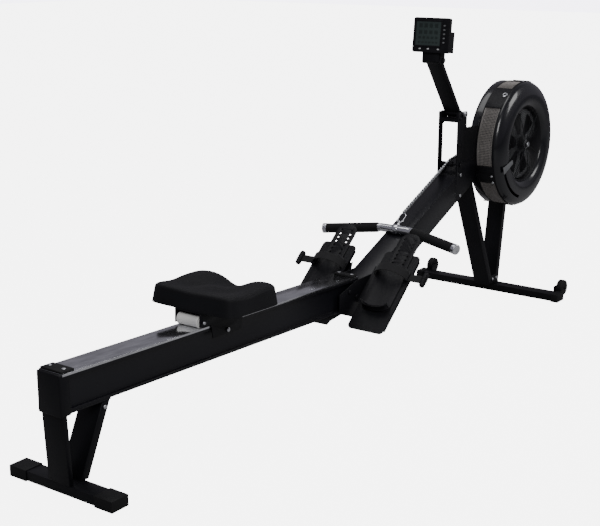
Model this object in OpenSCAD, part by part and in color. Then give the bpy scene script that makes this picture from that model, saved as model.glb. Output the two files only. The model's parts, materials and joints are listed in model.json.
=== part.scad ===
// Air rowing machine: a sloped seat rail, an inclined front beam, a fan flywheel in its
// cage, a sliding seat, a chain handle, adjustable footrests and a folding monitor arm.
// +X runs from the seat end to the fan, +Y is the rower's left, +Z is up.
// Stations along the machine start at the rear foot; every part is then moved so that
// the origin lies on the floor under the middle of the whole machine.

/* [Seat rail] */
// Width of the rail
rail_w = 80; // [70:1:90]
// Height of the rail section
rail_h = 100; // [85:1:120]
// Length of the rail
rail_len = 1268; // [1180:1:1275]
// Height of the track above the floor at the rear foot
rail_top = 319; // [290:1:350]
// Downward slope of the rail towards the front, degrees
rail_slope = 2; // [0:0.1:3]
// Height of the rail's top flange
flange_h = 12; // [9:0.5:16]
// Depth of the recess in each side of the rail
rail_recess = 11; // [10:0.5:14]
// Thickness of the steel track
track_t = 2; // [1:0.5:3]

/* [Feet and legs] */
// Length of the rear foot over its end caps
rear_foot_len = 360; // [300:1:450]
// Length of the front foot over its end caps
front_foot_len = 612; // [500:1:700]
// Station of the front foot's centre
front_foot_x = 2218; // [2180:1:2260]
// Depth of a foot tube
foot_d = 52; // [44:1:60]
// Height of a foot tube
foot_h = 26; // [20:1:32]
// Width of a leg tube, across the machine
leg_w = 50; // [44:1:66]
// Thickness of a leg tube, along the machine
leg_t = 24; // [14:1:24]
// Diameter of a transport wheel
wheel_d = 60; // [48:1:66]

/* [Front beam] */
// Slope of the front beam, degrees
beam_slope = 23.7; // [22:0.1:25]
// Height of the front beam's section, square to its length
beam_h = 90; // [78:1:96]
// Wall of the front beam
beam_wall = 3; // [2:0.5:5]

/* [Seat] */
// Width of the seat
seat_w = 300; // [260:1:340]
// Length of the seat
seat_len = 224; // [216:1:250]
// Height of the seat pad at its humps
seat_h = 56; // [45:1:65]
// Station of the seat's centre at rest
seat_x = 570; // [500:1:650]
// Diameter of the seat's top rollers
roller_d = 34; // [28:1:40]
// Diameter of the lower guide wheels
guide_d = 20; // [14:1:24]

/* [Handle and chain] */
// Width of the handle over its ends
handle_w = 524; // [450:1:600]
// Diameter of the handle tube
handle_d = 28; // [24:1:32]
// Diameter over the grips
grip_d = 34; // [32:1:38]
// Bend of each side of the handle, degrees
handle_bend = 15; // [5:1:20]
// Height of the chain above the front beam, square to it
chain_rise = 40; // [36:1:46]
// Width of the chain
chain_w = 8; // [6:0.5:10]

/* [Footrests] */
// Length of a footboard
board_len = 304; // [280:1:340]
// Width of a footboard
board_w = 130; // [116:1:150]
// Slope of a footboard, degrees
board_slope = 40.7; // [38:0.1:44]
// Spacing of the holes in a heel cup's neck
hole_pitch = 16; // [12:1:20]

/* [Fan] */
// Station of the fan's axle
fan_x = 2233; // [2200:1:2260]
// Height of the fan's axle
fan_z = 579; // [565:1:610]
// Outer radius of the fan cage
cage_r = 230; // [210:1:236]
// Width of the perforated outlet band
band_w = 66; // [60:1:80]
// Depth of the rounded right cover
cover_d = 30; // [26:1:40]
// Radius of the air inlet
inlet_r = 138; // [120:1:146]
// Teeth of the chain sprocket
sprocket_teeth = 14; // [12:1:16]
// Number of fan blades
blade_count = 24; // [12:2:30]

/* [Monitor] */
// Width of the monitor
monitor_w = 140; // [130:1:170]
// Height of the monitor
monitor_h = 117; // [110:1:140]
// Backward lean of the monitor arm from upright, degrees
arm_lean = 37; // [28:1:44]
// Distance between the arm's two pivots
arm_len = 248; // [200:1:300]
// Width of the monitor arm
arm_w = 60; // [50:1:66]

/* [Hidden] */

// clearances
gap = 0.3;        // between pieces of different bodies
run = 0.05;       // radial, a shaft in its own hole
skin = 0.1;       // between a sleeve and its tube
plate = 4;        // steel plate of the frame
side_plate = 5;   // plates on the sides of the front beam

// rear foot and legs
foot_z = 2;             // a foot tube's clearance over the floor
cap_side = 2.5;         // how far a cap stands out in front of and behind its tube
cap_top = 2;            // how far a cap stands over its tube
rear_cap_len = 60;
front_cap_len = 28;
rear_foot_x = 0;        // centre of the rear foot
upright_t = 14;          // the rear upright is a flat bar
rail_back = -36;        // rear end of the rail
end_plate_h = 78;
saddle_len = 125;       // saddle plate under the rail, forward of the datum
diag_foot_x = 24;       // where the rear diagonal meets its foot
diag_lean = 24.6;       // its lean from upright, degrees
leg_wall = 2;

// whole machine along X
x_back = (rail_back - plate) * cos(rail_slope) - (rail_h + plate) * sin(rail_slope);
x_front = fan_x + cage_r;
x_mid = (x_back + x_front) / 2;

// seat carriage, in rail coordinates
rail_half = rail_w / 2;
lip_t = 1;              // folded edge of the track
lip_h = 6;
under_flange = -track_t - flange_h;
side_in = rail_half + lip_t + 1.5;   // inner face of the carriage's side plates
side_t = 3;
roller_x = seat_len / 2 - 10;        // rollers lie near the seat's ends
roller_len = 76;
roller_pin = 5;
guide_w = rail_recess - 3;
guide_z = under_flange - guide_d / 2 - gap;
seat_under = roller_d + 11;          // underside of the pad over the track
pan_t = 3;

// front beam: a point on its top line
beam_ref_x = 1504;
beam_ref_z = 347;
beam_tan = tan(beam_slope);
beam_drop = beam_h / cos(beam_slope);
beam_start = 1240;
beam_end = 1862;
function beam_top(x) = beam_ref_z + (x - beam_ref_x) * beam_tan;
function beam_under(x) = beam_top(x) - beam_drop;
function rail_under(x) = rail_top - x * tan(rail_slope) - rail_h / cos(rail_slope);
function rail_over(x) = rail_top - x * tan(rail_slope);

// head frame
upright_back = 1862;    // rear edge of the wide right upright
upright_front = 1924;
bar_back = 1862;        // the narrow left upright
bar_front = 1886;
head_x = 1895;          // arm pivot
head_z = 722;
pivot_r = 5;
boss_r = 12.5;
upright_in = rail_half - side_plate;  // the uprights stand flush with the beam
head_front = 1985;      // front end of the head box
head_plug = 62;         // how far it reaches into the beam
head_wall = 4;
guide_x = 1883;         // chain guide roller
guide_r = 10;
chain_h = 9;
cord_end = 1800;        // where the shock cord meets the chain
chain_mid = beam_top(guide_x) + chain_rise / cos(beam_slope);
guide_roller_z = chain_mid - (chain_h / 2 + guide_r + gap) / cos(beam_slope);

// fan cage, along Y
plate_y = -rail_half;   // right face of the right upright
band_left = plate_y - gap;
band_right = band_left - band_w;
face_y = band_right - cover_d;
drum_left = -chain_w / 2 - 2;        // left face of the left cover
wall = 3;
disc_r = cage_r - 44;                // radius of the flywheel's disc
shaft_r = 8;
bearing_r = 16;
hub_y = band_right - 16;             // middle of the right bearing
bearing_w = 10;
grille_y = band_right - 6;           // outer face of the grille at its hub
lip_r = cage_r - 57;                 // crest of the right cover
throat_y = face_y + 20;
hub_r = 24;                          // hub of the grille, which the damper turns on
damper_y = band_right + 4;
slot_r = cage_r - 32;                       // damper lever's slot in the right cover
lever_at = -160;                     // lever's place, degrees from +X towards +Z
damper_travel = 50;
pitch = 12.7;
sprocket_r = pitch / (2 * sin(180 / sprocket_teeth));
lever_in = inlet_r + 2;                     // the lever tab's inner and outer ends
lever_out = cage_r - 16;
chain_r = sprocket_r + chain_h / 2 - 0.6;
// heights of the chain before and behind the sprocket
function taut_run(x) = chain_mid + (x - guide_x) * (fan_z + chain_r - chain_mid) / (fan_x - guide_x);
function slack_run(x) = let (z = beam_top(cord_end) - 52)
    z + (x - cord_end) * (fan_z - chain_r - z) / (fan_x - cord_end);
clamp_at = [137, 197, 257, 317, 17, 77];

// footrests
board_x = 1140;
board_z = 135;
board_y = 58 + board_w / 2;
board_t = 5;
bar_x = 1268;
bar_z = 205;
bar_r = 10;
cup_start = 78;
cup_t = 3;
neck_w = 76;
neck_end = 384;
neck_rows = 8;
strap_x = 205;
strap_w = 28;

// handle, in beam coordinates
handle_at = [24, handle_d / 2 + gap];
centre_half = 56;
grip_from = 12;
end_len = 14;
ring_w = 22;
ring_wire = 3.2;
ring_half = 6.5;         // from the ring's middle to the centre of either end
ring_out = 50;           // from the handle's centre to the ring's
ring_under = 4.5;        // how far the ring's front end lies below the chain
ring_tilt = asin((chain_rise - chain_h / 2 - ring_under - handle_at[1]) / (ring_out + ring_half));
ring_front = (ring_out + ring_half) * cos(ring_tilt)
    + sqrt(pow(ring_w / 2, 2) - pow(ring_under, 2));

// monitor
case_front = -32.6;
case_z = 23;
slab_t = 14;
rear_box = 30;
rear_box_h = 72;
ear_w = 4;
key_sizes = [8, 5];
button_y = -50;
button_z0 = 58;
button_pitch = 14;
key_y = [40, 8, -31];
key_z = 35;
monitor_tilt = 6;

// transport wheels
wheel_x = front_foot_x + foot_d / 2 + cap_side + wheel_d / 2 + 1;
wheel_z = wheel_d / 2 + 7;
wheel_y = front_foot_len / 2 - 24;
wheel_w = 24;
wheel_pin = 5;

$fn = 64;

module at_centre() { translate([-x_mid, 0, 0]) children(); }

// places a drawing of the XZ plane across the machine, centred on Y
module across(w, y = 0) {
    translate([0, y, 0]) rotate([90, 0, 0]) linear_extrude(w, center = true) children();
}

// extrudes a YZ section forwards
module forwards(len) { rotate([90, 0, 90]) linear_extrude(len) children(); }

module on_rail() { translate([0, 0, rail_top]) rotate([0, rail_slope, 0]) children(); }

module on_beam() {
    translate([beam_ref_x, 0, beam_ref_z]) rotate([0, -beam_slope, 0]) children();
}

module on_board(side) {
    translate([board_x, side * board_y, board_z]) rotate([0, -board_slope, 0]) children();
}

// fan coordinates: Z along the axle, towards the left
module on_fan() { translate([fan_x, 0, fan_z]) rotate([-90, 0, 0]) children(); }

module on_arm() { translate([head_x, 0, head_z]) rotate([0, -arm_lean, 0]) children(); }

module on_monitor() {
    translate([head_x - arm_len * sin(arm_lean), 0, head_z + arm_len * cos(arm_lean)])
        rotate([0, monitor_tilt, 0]) children();
}

module rod_y(r, y0, y1) {
    translate([0, y0, 0]) rotate([-90, 0, 0]) cylinder(r = r, h = y1 - y0);
}

module box(x0, x1, y0, y1, z0, z1) {
    translate([x0, y0, z0]) cube([x1 - x0, y1 - y0, z1 - z0]);
}

// a leaning hollow bar between two heights; lean shifts it along X per unit of height
module leg(x0, z0, z1, lean, t) {
    k = tan(lean);
    half = t / 2 / cos(lean);
    inner = half - leg_wall / cos(lean);
    difference() {
        across(leg_w) polygon([
            [x0 - half, z0], [x0 + half, z0],
            [x0 + half + k * (z1 - z0), z1], [x0 - half + k * (z1 - z0), z1]]);
        across(leg_w - 2 * leg_wall) polygon([
            [x0 - inner - k, z0 - 1], [x0 + inner - k, z0 - 1],
            [x0 + inner + k * (z1 - z0 + 1), z1 + 1], [x0 - inner + k * (z1 - z0 + 1), z1 + 1]]);
    }
}

module foot_tube(x, len) {
    difference() {
        box(x - foot_d / 2, x + foot_d / 2, -len / 2 + 3, len / 2 - 3, foot_z, foot_z + foot_h);
        box(x - foot_d / 2 + leg_wall, x + foot_d / 2 - leg_wall, -len / 2, len / 2,
            foot_z + leg_wall, foot_z + foot_h - leg_wall);
    }
}

module foot_cap(x, len, cap_len, side) {
    y_in = len / 2 - cap_len;
    mirror([0, side < 0 ? 1 : 0, 0]) difference() {
        box(x - foot_d / 2 - cap_side, x + foot_d / 2 + cap_side, y_in, len / 2,
            0, foot_z + foot_h + cap_top);
        box(x - foot_d / 2 - skin, x + foot_d / 2 + skin, y_in - 1, len / 2 - 3 + skin,
            foot_z - skin, foot_z + foot_h + skin);
    }
}

module rear_foot_tube() {
    at_centre() color("#202226") foot_tube(rear_foot_x, rear_foot_len);
}

module foot_caps() {
    at_centre() color("#15161a") for (side = [-1, 1]) {
        foot_cap(rear_foot_x, rear_foot_len, rear_cap_len, side);
        foot_cap(front_foot_x, front_foot_len, front_cap_len, side);
    }
}

module rear_legs() {
    top = rail_under(0) - plate / cos(rail_slope);
    at_centre() color("#202226") {
        // saddle under the rail and the plate behind its end
        on_rail() {
            box(rail_back - plate, saddle_len, -rail_half, rail_half, -rail_h - plate, -rail_h);
            box(rail_back - plate, rail_back - skin, -rail_half, rail_half,
                -rail_h - plate, -rail_h + end_plate_h);
        }
        leg(-20, foot_z + foot_h, top - plate / 2, -2.9, upright_t);
        leg(diag_foot_x, foot_z + foot_h, top - plate - 1, diag_lean, leg_t);
    }
}

module rail_section() {
    foot_flange = -rail_h + 8;
    in = rail_half - rail_recess;
    difference() {
        polygon([
            [rail_half, -track_t], [rail_half, under_flange], [in, under_flange],
            [in, foot_flange], [rail_half, foot_flange], [rail_half, -rail_h],
            [-rail_half, -rail_h], [-rail_half, foot_flange], [-in, foot_flange],
            [-in, under_flange], [-rail_half, under_flange], [-rail_half, -track_t]]);
        translate([0, (under_flange - 3 + foot_flange + 3) / 2])
            square([2 * in - 6, under_flange - foot_flange - 0], center = true);
    }
}

module monorail() {
    at_centre() color("#26282e") on_rail()
        translate([rail_back, 0, 0]) forwards(rail_len) rail_section();
}

module track() {
    len = rail_len - 2;
    at_centre() color("#b9bcc0") on_rail() translate([rail_back + 2, 0, 0]) {
        box(0, len, -rail_half - lip_t, rail_half + lip_t, -track_t, 0);
        for (side = [-1, 1])
            translate([0, side * (rail_half + lip_t / 2), 0])
                box(0, len, -lip_t / 2, lip_t / 2, -lip_h, 0);
    }
}

// end stop: a rubber block on the track
module stop_block(x0, x1) {
    box(x0, x1, -rail_half + 3, rail_half - 3, skin / 2, 6);
}

module rail_stops() {
    end = rail_back + rail_len;
    at_centre() color("#17181b") on_rail() {
        stop_block(rail_back + 2, 8);
        stop_block(end - 26, end - 2);
    }
}

module front_beam() {
    at_centre() color("#26282e") difference() {
        across(rail_w) polygon([
            [beam_start, beam_top(beam_start) - beam_drop], [beam_start, beam_top(beam_start)],
            [beam_end, beam_top(beam_end)], [beam_end, beam_top(beam_end) - beam_drop]]);
        across(rail_w - 2 * beam_wall) polygon([
            [beam_start - 1, beam_top(beam_start - 1) - beam_drop + beam_wall],
            [beam_start - 1, beam_top(beam_start - 1) - beam_wall],
            [beam_end + 1, beam_top(beam_end + 1) - beam_wall],
            [beam_end + 1, beam_top(beam_end + 1) - beam_drop + beam_wall]]);
        translate([bar_x, 0, bar_z]) rod_y(bar_r + skin, -rail_w, rail_w);
    }
}

module junction_plates() {
    at_centre() color("#202226") for (side = [-1, 1]) difference() {
        across(plate, side * (rail_half + skin + plate / 2)) polygon([
            [1122, rail_under(1122) + 2], [1122, rail_over(1122) - 40],
            [1215, rail_over(1215) - 10], [1345, beam_top(1345) - 8],
            [1345, beam_top(1345) - beam_drop + 6], [1236, beam_top(1236) - beam_drop + 4]]);
        translate([bar_x, 0, bar_z]) rod_y(bar_r + skin, -rail_w, rail_w);
    }
}

module frame_latch() {
    at_centre() color("#202226") across(66) polygon([
        [990, rail_under(990) - skin], [1070, rail_under(1070) - 28],
        [1088, rail_under(1088) - 19], [1163, rail_under(1163) - 9],
        [1228, rail_under(1228) - 3], [1228, rail_under(1228) - skin]]);
}

// rounded rectangle from x0 to x1 and y0 to y1
function corner(x, y, r, a) = [for (i = [0:6]) [x + r * cos(a + 15 * i), y + r * sin(a + 15 * i)]];
function round_box(x0, x1, y0, y1, r) = concat(
    corner(x1 - r, y1 - r, r, 0), corner(x0 + r, y1 - r, r, 90),
    corner(x0 + r, y0 + r, r, 180), corner(x1 - r, y0 + r, r, 270));

module footboard(side) {
    inner = rail_half + plate + 2 * skin;
    lug_t = 4;
    at_centre() color("#1d1f24") {
        on_board(side) {
            translate([0, 0, -board_t]) linear_extrude(board_t)
                polygon(round_box(0, board_len, -board_w / 2, board_w / 2, 14));
            for (s = [-1, 1])
                box(16, board_len - 16, s * (board_w / 2 - 2) - 2, s * (board_w / 2 - 2) + 2,
                    -board_t - 7, -board_t);
        }
        // lug on the cross bar, and the tongue that carries the board from it
        difference() {
            across(lug_t, side * (inner + lug_t / 2)) polygon([
                [bar_x - 22, bar_z - 16], [bar_x + 22, bar_z - 16],
                [bar_x + 60, board_z + (bar_x + 60 - board_x) * tan(board_slope) - 7],
                [bar_x - 50, board_z + (bar_x - 50 - board_x) * tan(board_slope) - 7]]);
            translate([bar_x, 0, bar_z]) rod_y(bar_r + skin, -board_w * 2, board_w * 2);
        }
        on_board(side) translate([0, -side * board_y, 0])
            box(100, 240, min(side * inner, side * (inner + 24)), max(side * inner, side * (inner + 24)),
                -board_t - 3, -board_t);
    }
}
module footboard_left() { footboard(1); }
module footboard_right() { footboard(-1); }

module footrest_bar() {
    at_centre() color("#202226") translate([bar_x, 0, bar_z]) rod_y(bar_r, -rail_w, rail_w);
}

// front legs: one leans back to the head box, one forward to the cradle under the cage
module front_legs() {
    z0 = foot_z + foot_h;
    base = 6;
    back_x = front_foot_x - 37;
    ahead_x = front_foot_x + 10;
    cradle = cage_r + gap;
    at_centre() color("#202226") difference() {
        union() {
            box(back_x - 14, ahead_x + 14, -leg_w / 2, leg_w / 2, z0, z0 + base);
            leg(back_x, z0 + base - 1, beam_under(head_front) + 20, -24.8, leg_t);
            leg(ahead_x, z0 + base - 1, fan_z - cage_r + 20, 8, leg_t);
            // gussets that carry the foot bolts
            for (side = [-1, 1]) across(4, side * (leg_w / 2 - 2)) polygon([
                [back_x, z0], [ahead_x, z0], [ahead_x + 6, z0 + 34], [back_x - 14, z0 + 34]]);
            on_fan() rotate([0, 0, 70]) rotate_extrude(angle = 24, $fn = 128)
                translate([cradle, band_right + 8]) square([4, leg_w / 2 - band_right - 8]);
        }
        across(leg_w + 20) polygon([
            [head_front - 300, beam_under(head_front - 300)], [head_front + 90, beam_under(head_front + 90)],
            [head_front + 90, beam_under(head_front + 90) + 90],
            [head_front - 300, beam_under(head_front - 300) + 90]]);
        on_fan() translate([0, 0, band_right]) cylinder(r = cradle, h = 200, $fn = 160);
    }
}

module front_foot_tube() {
    inner = wheel_y - wheel_w / 2 - 1;
    at_centre() color("#202226") {
        foot_tube(front_foot_x, front_foot_len);
        for (side = [-1, 1]) mirror([0, side < 0 ? 1 : 0, 0]) {
            box(front_foot_x + foot_d / 2 - 1, wheel_x + 9, inner - 5, inner, wheel_z - 20, wheel_z + 9);
            translate([wheel_x, 0, wheel_z]) rod_y(wheel_pin, inner - 2, wheel_y + wheel_w / 2 + 4);
        }
    }
}

module transport_wheel(side) {
    at_centre() color("#2c2e33") translate([wheel_x, side * wheel_y, wheel_z])
        rotate([-90, 0, 0]) rotate_extrude($fn = 96) polygon([
            [wheel_pin + run, -wheel_w / 2], [wheel_d / 2 - 3, -wheel_w / 2],
            [wheel_d / 2, -wheel_w / 2 + 3], [wheel_d / 2, wheel_w / 2 - 3],
            [wheel_d / 2 - 3, wheel_w / 2], [wheel_pin + run, wheel_w / 2]]);
}
module wheel_left() { transport_wheel(1); }
module wheel_right() { transport_wheel(-1); }

// bores of the arm's pivot pin and of the guide roller's pin
module head_bores() {
    translate([head_x, 0, head_z]) rod_y(pivot_r + skin, -rail_w, rail_w);
    translate([guide_x, 0, guide_roller_z]) rod_y(4 + skin, -rail_w, rail_w);
}

module upright_left() {
    at_centre() color("#202226") difference() {
        across(side_plate, rail_half - side_plate / 2) polygon([
            [bar_back, beam_under(bar_back)], [bar_back, head_z + 7],
            [bar_front + 20, head_z + 7], [bar_front + 20, head_z - 28], [bar_front, head_z - 40],
            [bar_front, beam_top(bar_front) + 34], [head_front, beam_top(head_front) - 30],
            [head_front, beam_under(head_front)]]);
        head_bores();
    }
}

module upright_right() {
    y = -rail_half + side_plate / 2;
    hub_x = fan_x - cage_r;
    at_centre() color("#202226") difference() {
        union() {
            across(side_plate, y) polygon([
                [upright_back, beam_under(upright_back)], [upright_back, head_z + 7],
                [upright_front, head_z + 7], [upright_front, fan_z + 92],
                [hub_x + 14, fan_z + 90], [fan_x, fan_z + 26], [fan_x, fan_z - 26],
                [hub_x + 24, fan_z - 68], [head_front, beam_under(head_front)]]);
            on_fan() translate([0, 0, y]) cylinder(r = 30, h = side_plate, center = true);
            on_fan() translate([0, 0, y]) cylinder(r = 24, h = bearing_w + 6, center = true);
        }
        on_fan() translate([0, 0, y]) cylinder(r = bearing_r + skin, h = 40, center = true);
        head_bores();
    }
}

// hollow box between the uprights, with a plug that reaches into the beam
module head_box() {
    half = upright_in - skin;
    x0 = beam_end - head_plug;
    lift = beam_wall + skin;
    in = head_wall / cos(beam_slope);
    at_centre() color("#202226") difference() {
        union() {
            across(2 * half) polygon([
                [beam_end + skin, beam_under(beam_end + skin)], [beam_end + skin, beam_top(beam_end + skin)],
                [head_front, beam_top(head_front)], [head_front, beam_under(head_front)]]);
            across(2 * half) polygon([
                [x0, beam_under(x0) + lift / cos(beam_slope)], [x0, beam_top(x0) - lift / cos(beam_slope)],
                [beam_end + 5, beam_top(beam_end + 5) - lift / cos(beam_slope)],
                [beam_end + 5, beam_under(beam_end + 5) + lift / cos(beam_slope)]]);
        }
        across(2 * (half - head_wall)) polygon([
            [x0 - 1, beam_under(x0 - 1) + in + lift], [x0 - 1, beam_top(x0 - 1) - in - lift],
            [head_front + 1, beam_top(head_front + 1) - in - lift],
            [head_front + 1, beam_under(head_front + 1) + in + lift]]);
    }
}

module head_block() {
    ear_in = arm_w / 2 + gap;
    half = upright_in - skin;
    at_centre() color("#17181b") difference() {
        union() {
            box(upright_back + 1, head_x + 10, -half, half, head_z - 28, head_z - boss_r - 2);
            for (side = [-1, 1]) mirror([0, side < 0 ? 1 : 0, 0])
                box(upright_back + 1, head_x + 10, ear_in, half, head_z - 28, head_z + 7);
        }
        translate([head_x, 0, head_z]) rod_y(pivot_r + skin, -rail_w, rail_w);
    }
}

module bolt_y(x, z, y, side, r = 6.5, h = 4.5) {
    translate([x, y, z]) rotate([side > 0 ? -90 : 90, 0, 0]) cylinder(r = r, h = h);
}

module frame_bolts() {
    out = rail_half;
    out_j = rail_half + skin + plate;
    at_centre() color("#a9adb3") {
        // screws of the two stops
        on_rail() for (x = [rail_back + 22, rail_back + rail_len - 14], y = [-24, 24])
            translate([x, y, 6]) cylinder(r = 5.5, h = 2.5);
        // bolts of the uprights on the beam
        for (side = [-1, 1], dz = [11, 86])
            bolt_y(upright_back + 26, beam_top(upright_back + 26) - dz, side * out, side);
        for (side = [-1, 1], dz = [16, 110]) bolt_y(upright_back + 12, head_z - dz, side * out, side, 5, 4);
        // bolts of the junction plates
        for (side = [-1, 1], p = [[1175, 40], [1215, 62]])
            bolt_y(p[0], rail_over(p[0]) - p[1], side * out_j, side);
        for (side = [-1, 1]) bolt_y(1325, beam_top(1325) - 48, side * out_j, side);
        // bolts under the rear saddle and at the front foot
        for (side = [-1, 1])
            bolt_y(diag_foot_x + 168 * tan(diag_lean), 196, side * leg_w / 2, side, 5.5, 4);
        for (side = [-1, 1], x = [-26, 2])
            bolt_y(front_foot_x + x, 48, side * leg_w / 2, side, 5.5, 4);
        // pivot pin of the monitor arm with its hand knob
        translate([head_x, 0, head_z]) {
            rod_y(pivot_r, -out - 1, out + 1);
            rod_y(10, -out - 13, -out - 1);
            rod_y(8, out + 1, out + 6);
        }
        // pin of the chain guide roller
        translate([guide_x, 0, guide_roller_z]) {
            rod_y(4, -out - 1, out + 1);
            rod_y(7, -out - 5, -out - 1);
            rod_y(7, out + 1, out + 5);
        }
        // nut on the outer end of the fan's right hub
        on_fan() translate([0, 0, hub_y - bearing_w / 2 - 10]) cylinder(r = 10, h = 7, $fn = 6);
    }
}

module guide_roller() {
    at_centre() color("#d8d9d6") translate([guide_x, 0, guide_roller_z]) rotate([-90, 0, 0])
        difference() {
            cylinder(r = guide_r, h = 24, center = true);
            cylinder(r = 4 + run, h = 30, center = true);
        }
}

module outlet_band() {
    at_centre() color("#8b8e92") on_fan() translate([0, 0, band_right])
        difference() {
            cylinder(r = cage_r, h = band_w, $fn = 160);
            translate([0, 0, -1]) cylinder(r = cage_r - 2, h = band_w + 2, $fn = 160);
        }
}

// bars that bridge the band and clamp the two covers together
module cage_clamps() {
    len = band_w - 2 * gap;
    at_centre() color("#1a1b1f") on_fan() for (a = clamp_at) rotate([0, 0, -a])
        translate([cage_r + gap, -11, band_right + gap]) cube([4, 22, len]);
}

module cover_left() {
    notch = side_plate + 2 * gap;
    at_centre() color("#17181b") difference() {
        on_fan() rotate_extrude($fn = 160) polygon([
            [cage_r - wall, band_left], [cage_r, band_left], [cage_r, drum_left - 4],
            [cage_r - 4, drum_left], [shaft_r + 6, drum_left], [shaft_r + 6, drum_left - wall],
            [cage_r - wall - 3, drum_left - wall], [cage_r - wall, drum_left - wall - 3]]);
        box(fan_x - cage_r - 5, fan_x - cage_r + 90, plate_y - 1, plate_y + notch - gap,
            fan_z - 134, fan_z + 110);
    }
}

// quarter curve from the rim to the crest and on to the throat
function quarter(cx, cy, a, b, from) =
    [for (i = [0:8]) [cx + a * cos(from + 11.25 * i), cy - b * sin(from + 11.25 * i)]];

module cover_right() {
    outer = concat(
        quarter(lip_r, band_right, cage_r - lip_r, cover_d, 0),
        quarter(lip_r, throat_y, lip_r - inlet_r, throat_y - face_y, 90));
    inner = concat(
        quarter(lip_r, band_right, cage_r - lip_r - wall, cover_d - wall, 0),
        quarter(lip_r, throat_y, lip_r - inlet_r - wall, throat_y - face_y - wall, 90));
    back = [for (i = [len(inner) - 1:-1:0]) inner[i]];
    at_centre() color("#17181b") on_fan() difference() {
        rotate_extrude($fn = 160) polygon(concat(outer, back));
        rotate([0, 0, -lever_at - damper_travel - 4])
            rotate_extrude(angle = damper_travel + 8, $fn = 128)
                translate([slot_r - 5, face_y - 5]) square([10, cover_d]);
    }
}

module inlet_grille() {
    at_centre() color("#1d1f24") on_fan() difference() {
        union() {
            rotate_extrude($fn = 160) polygon([
                [hub_r, grille_y], [inlet_r - skin, throat_y - skin], [inlet_r - skin, throat_y + 3],
                [hub_r, grille_y + 3]]);
            // hub that carries the right bearing
            translate([0, 0, hub_y - bearing_w / 2 - 3])
                cylinder(r = hub_r, h = damper_y + 3 - hub_y + bearing_w / 2 + 3);
            // flat bar across the inlet, in line with the front beam
            rotate([0, 0, -beam_slope]) difference() {
                translate([-inlet_r + 1, -4, throat_y - 3]) cube([2 * inlet_r - 2, 8, 4]);
                cylinder(r = hub_r - 2, h = 500, center = true);
            }
        }
        translate([0, 0, hub_y - bearing_w / 2]) cylinder(r = bearing_r + skin, h = 60);
    }
}

module axle_bearings() {
    at_centre() color("#c4c7cb") on_fan()
        for (y = [-rail_half + side_plate / 2, hub_y]) translate([0, 0, y]) difference() {
            cylinder(r = bearing_r, h = bearing_w, center = true);
            cylinder(r = shaft_r + run, h = bearing_w + 2, center = true);
        }
}

module axle() {
    end = hub_y - bearing_w / 2 + 1;
    at_centre() color("#b3b6ba") on_fan() translate([0, 0, end]) cylinder(r = shaft_r, h = 10 - end);
}

module flywheel() {
    mid = (band_left + band_right) / 2;
    at_centre() color("#6f7378") on_fan() translate([0, 0, mid]) difference() {
        union() {
            cylinder(r = disc_r, h = 8, center = true, $fn = 128);
            cylinder(r = 26, h = 30, center = true);
        }
        cylinder(r = shaft_r + skin / 2, h = 60, center = true);
    }
}

module fan_blades() {
    mid = (band_left + band_right) / 2;
    blade_w = band_w - 16;
    at_centre() color("#2a2c30") on_fan() {
        for (i = [0:blade_count - 1]) rotate([0, 0, i * 360 / blade_count])
            translate([disc_r + 2, -1, mid - blade_w / 2]) cube([cage_r - disc_r - 12, 2, blade_w]);
        translate([0, 0, mid]) difference() {
            cylinder(r = disc_r + 6, h = 12, center = true, $fn = 128);
            cylinder(r = disc_r + skin, h = 20, center = true, $fn = 128);
        }
    }
}

module sprocket() {
    tip = sprocket_r - 1;
    root = sprocket_r - 4.5;
    n = sprocket_teeth;
    at_centre() color("#8f9297") on_fan() difference() {
        union() {
            translate([0, 0, -1.2]) linear_extrude(2.4) polygon([for (i = [0:4 * n - 1])
                let (r = (i % 4 < 2) ? tip : root, a = i * 90 / n) [r * cos(a), r * sin(a)]]);
            translate([0, 0, -3.5]) cylinder(r = 15, h = 9);
        }
        cylinder(r = shaft_r + run, h = 40, center = true);
    }
}

// the fixed part of the chain: over the sprocket and back into the beam
module chain_link_run(x0, z0, x1, z1) {
    across(chain_w) polygon([
        [x0, z0 - chain_h / 2], [x1, z1 - chain_h / 2], [x1, z1 + chain_h / 2], [x0, z0 + chain_h / 2]]);
}

module return_chain() {
    r = chain_r;
    at_centre() color("#9a9da2") {
        chain_link_run(guide_x + 2.5, taut_run(guide_x + 2.5), fan_x, fan_z + r);
        chain_link_run(cord_end + 0.5, slack_run(cord_end + 0.5), fan_x, fan_z - r);
        on_fan() rotate([0, 0, -90]) rotate_extrude(angle = 180)
            translate([r - chain_h / 2, -chain_w / 2]) square([chain_h, chain_w]);
    }
}

module shock_cord() {
    x0 = beam_start + 60;
    x1 = cord_end;
    at_centre() color("#1f4aa0") across(7) polygon([
        [x0, beam_top(x0) - 56], [x1, beam_top(x1) - 55.5],
        [x1, beam_top(x1) - 48.5], [x0, beam_top(x0) - 49]]);
}

module chain_guard() {
    left = 16;
    t = 2;
    guard_r = sprocket_r + 18;
    a0 = head_front + skin;
    at_centre() color("#1a1b1f") difference() {
        guard_shape(drum_left, left, guard_r, a0);
        guard_shape(drum_left - 1, left - t, guard_r - t, a0 - 1);
    }
}

module guard_shape(y0, y1, r, x0) {
    up = taut_run(x0);
    low = slack_run(x0);
    across(y1 - y0, (y0 + y1) / 2) polygon([
        [x0, low - 14], [x0, up + 14], [fan_x, fan_z + r], [fan_x, fan_z - r]]);
    on_fan() translate([0, 0, y0]) cylinder(r = r, h = y1 - y0);
}

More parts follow.
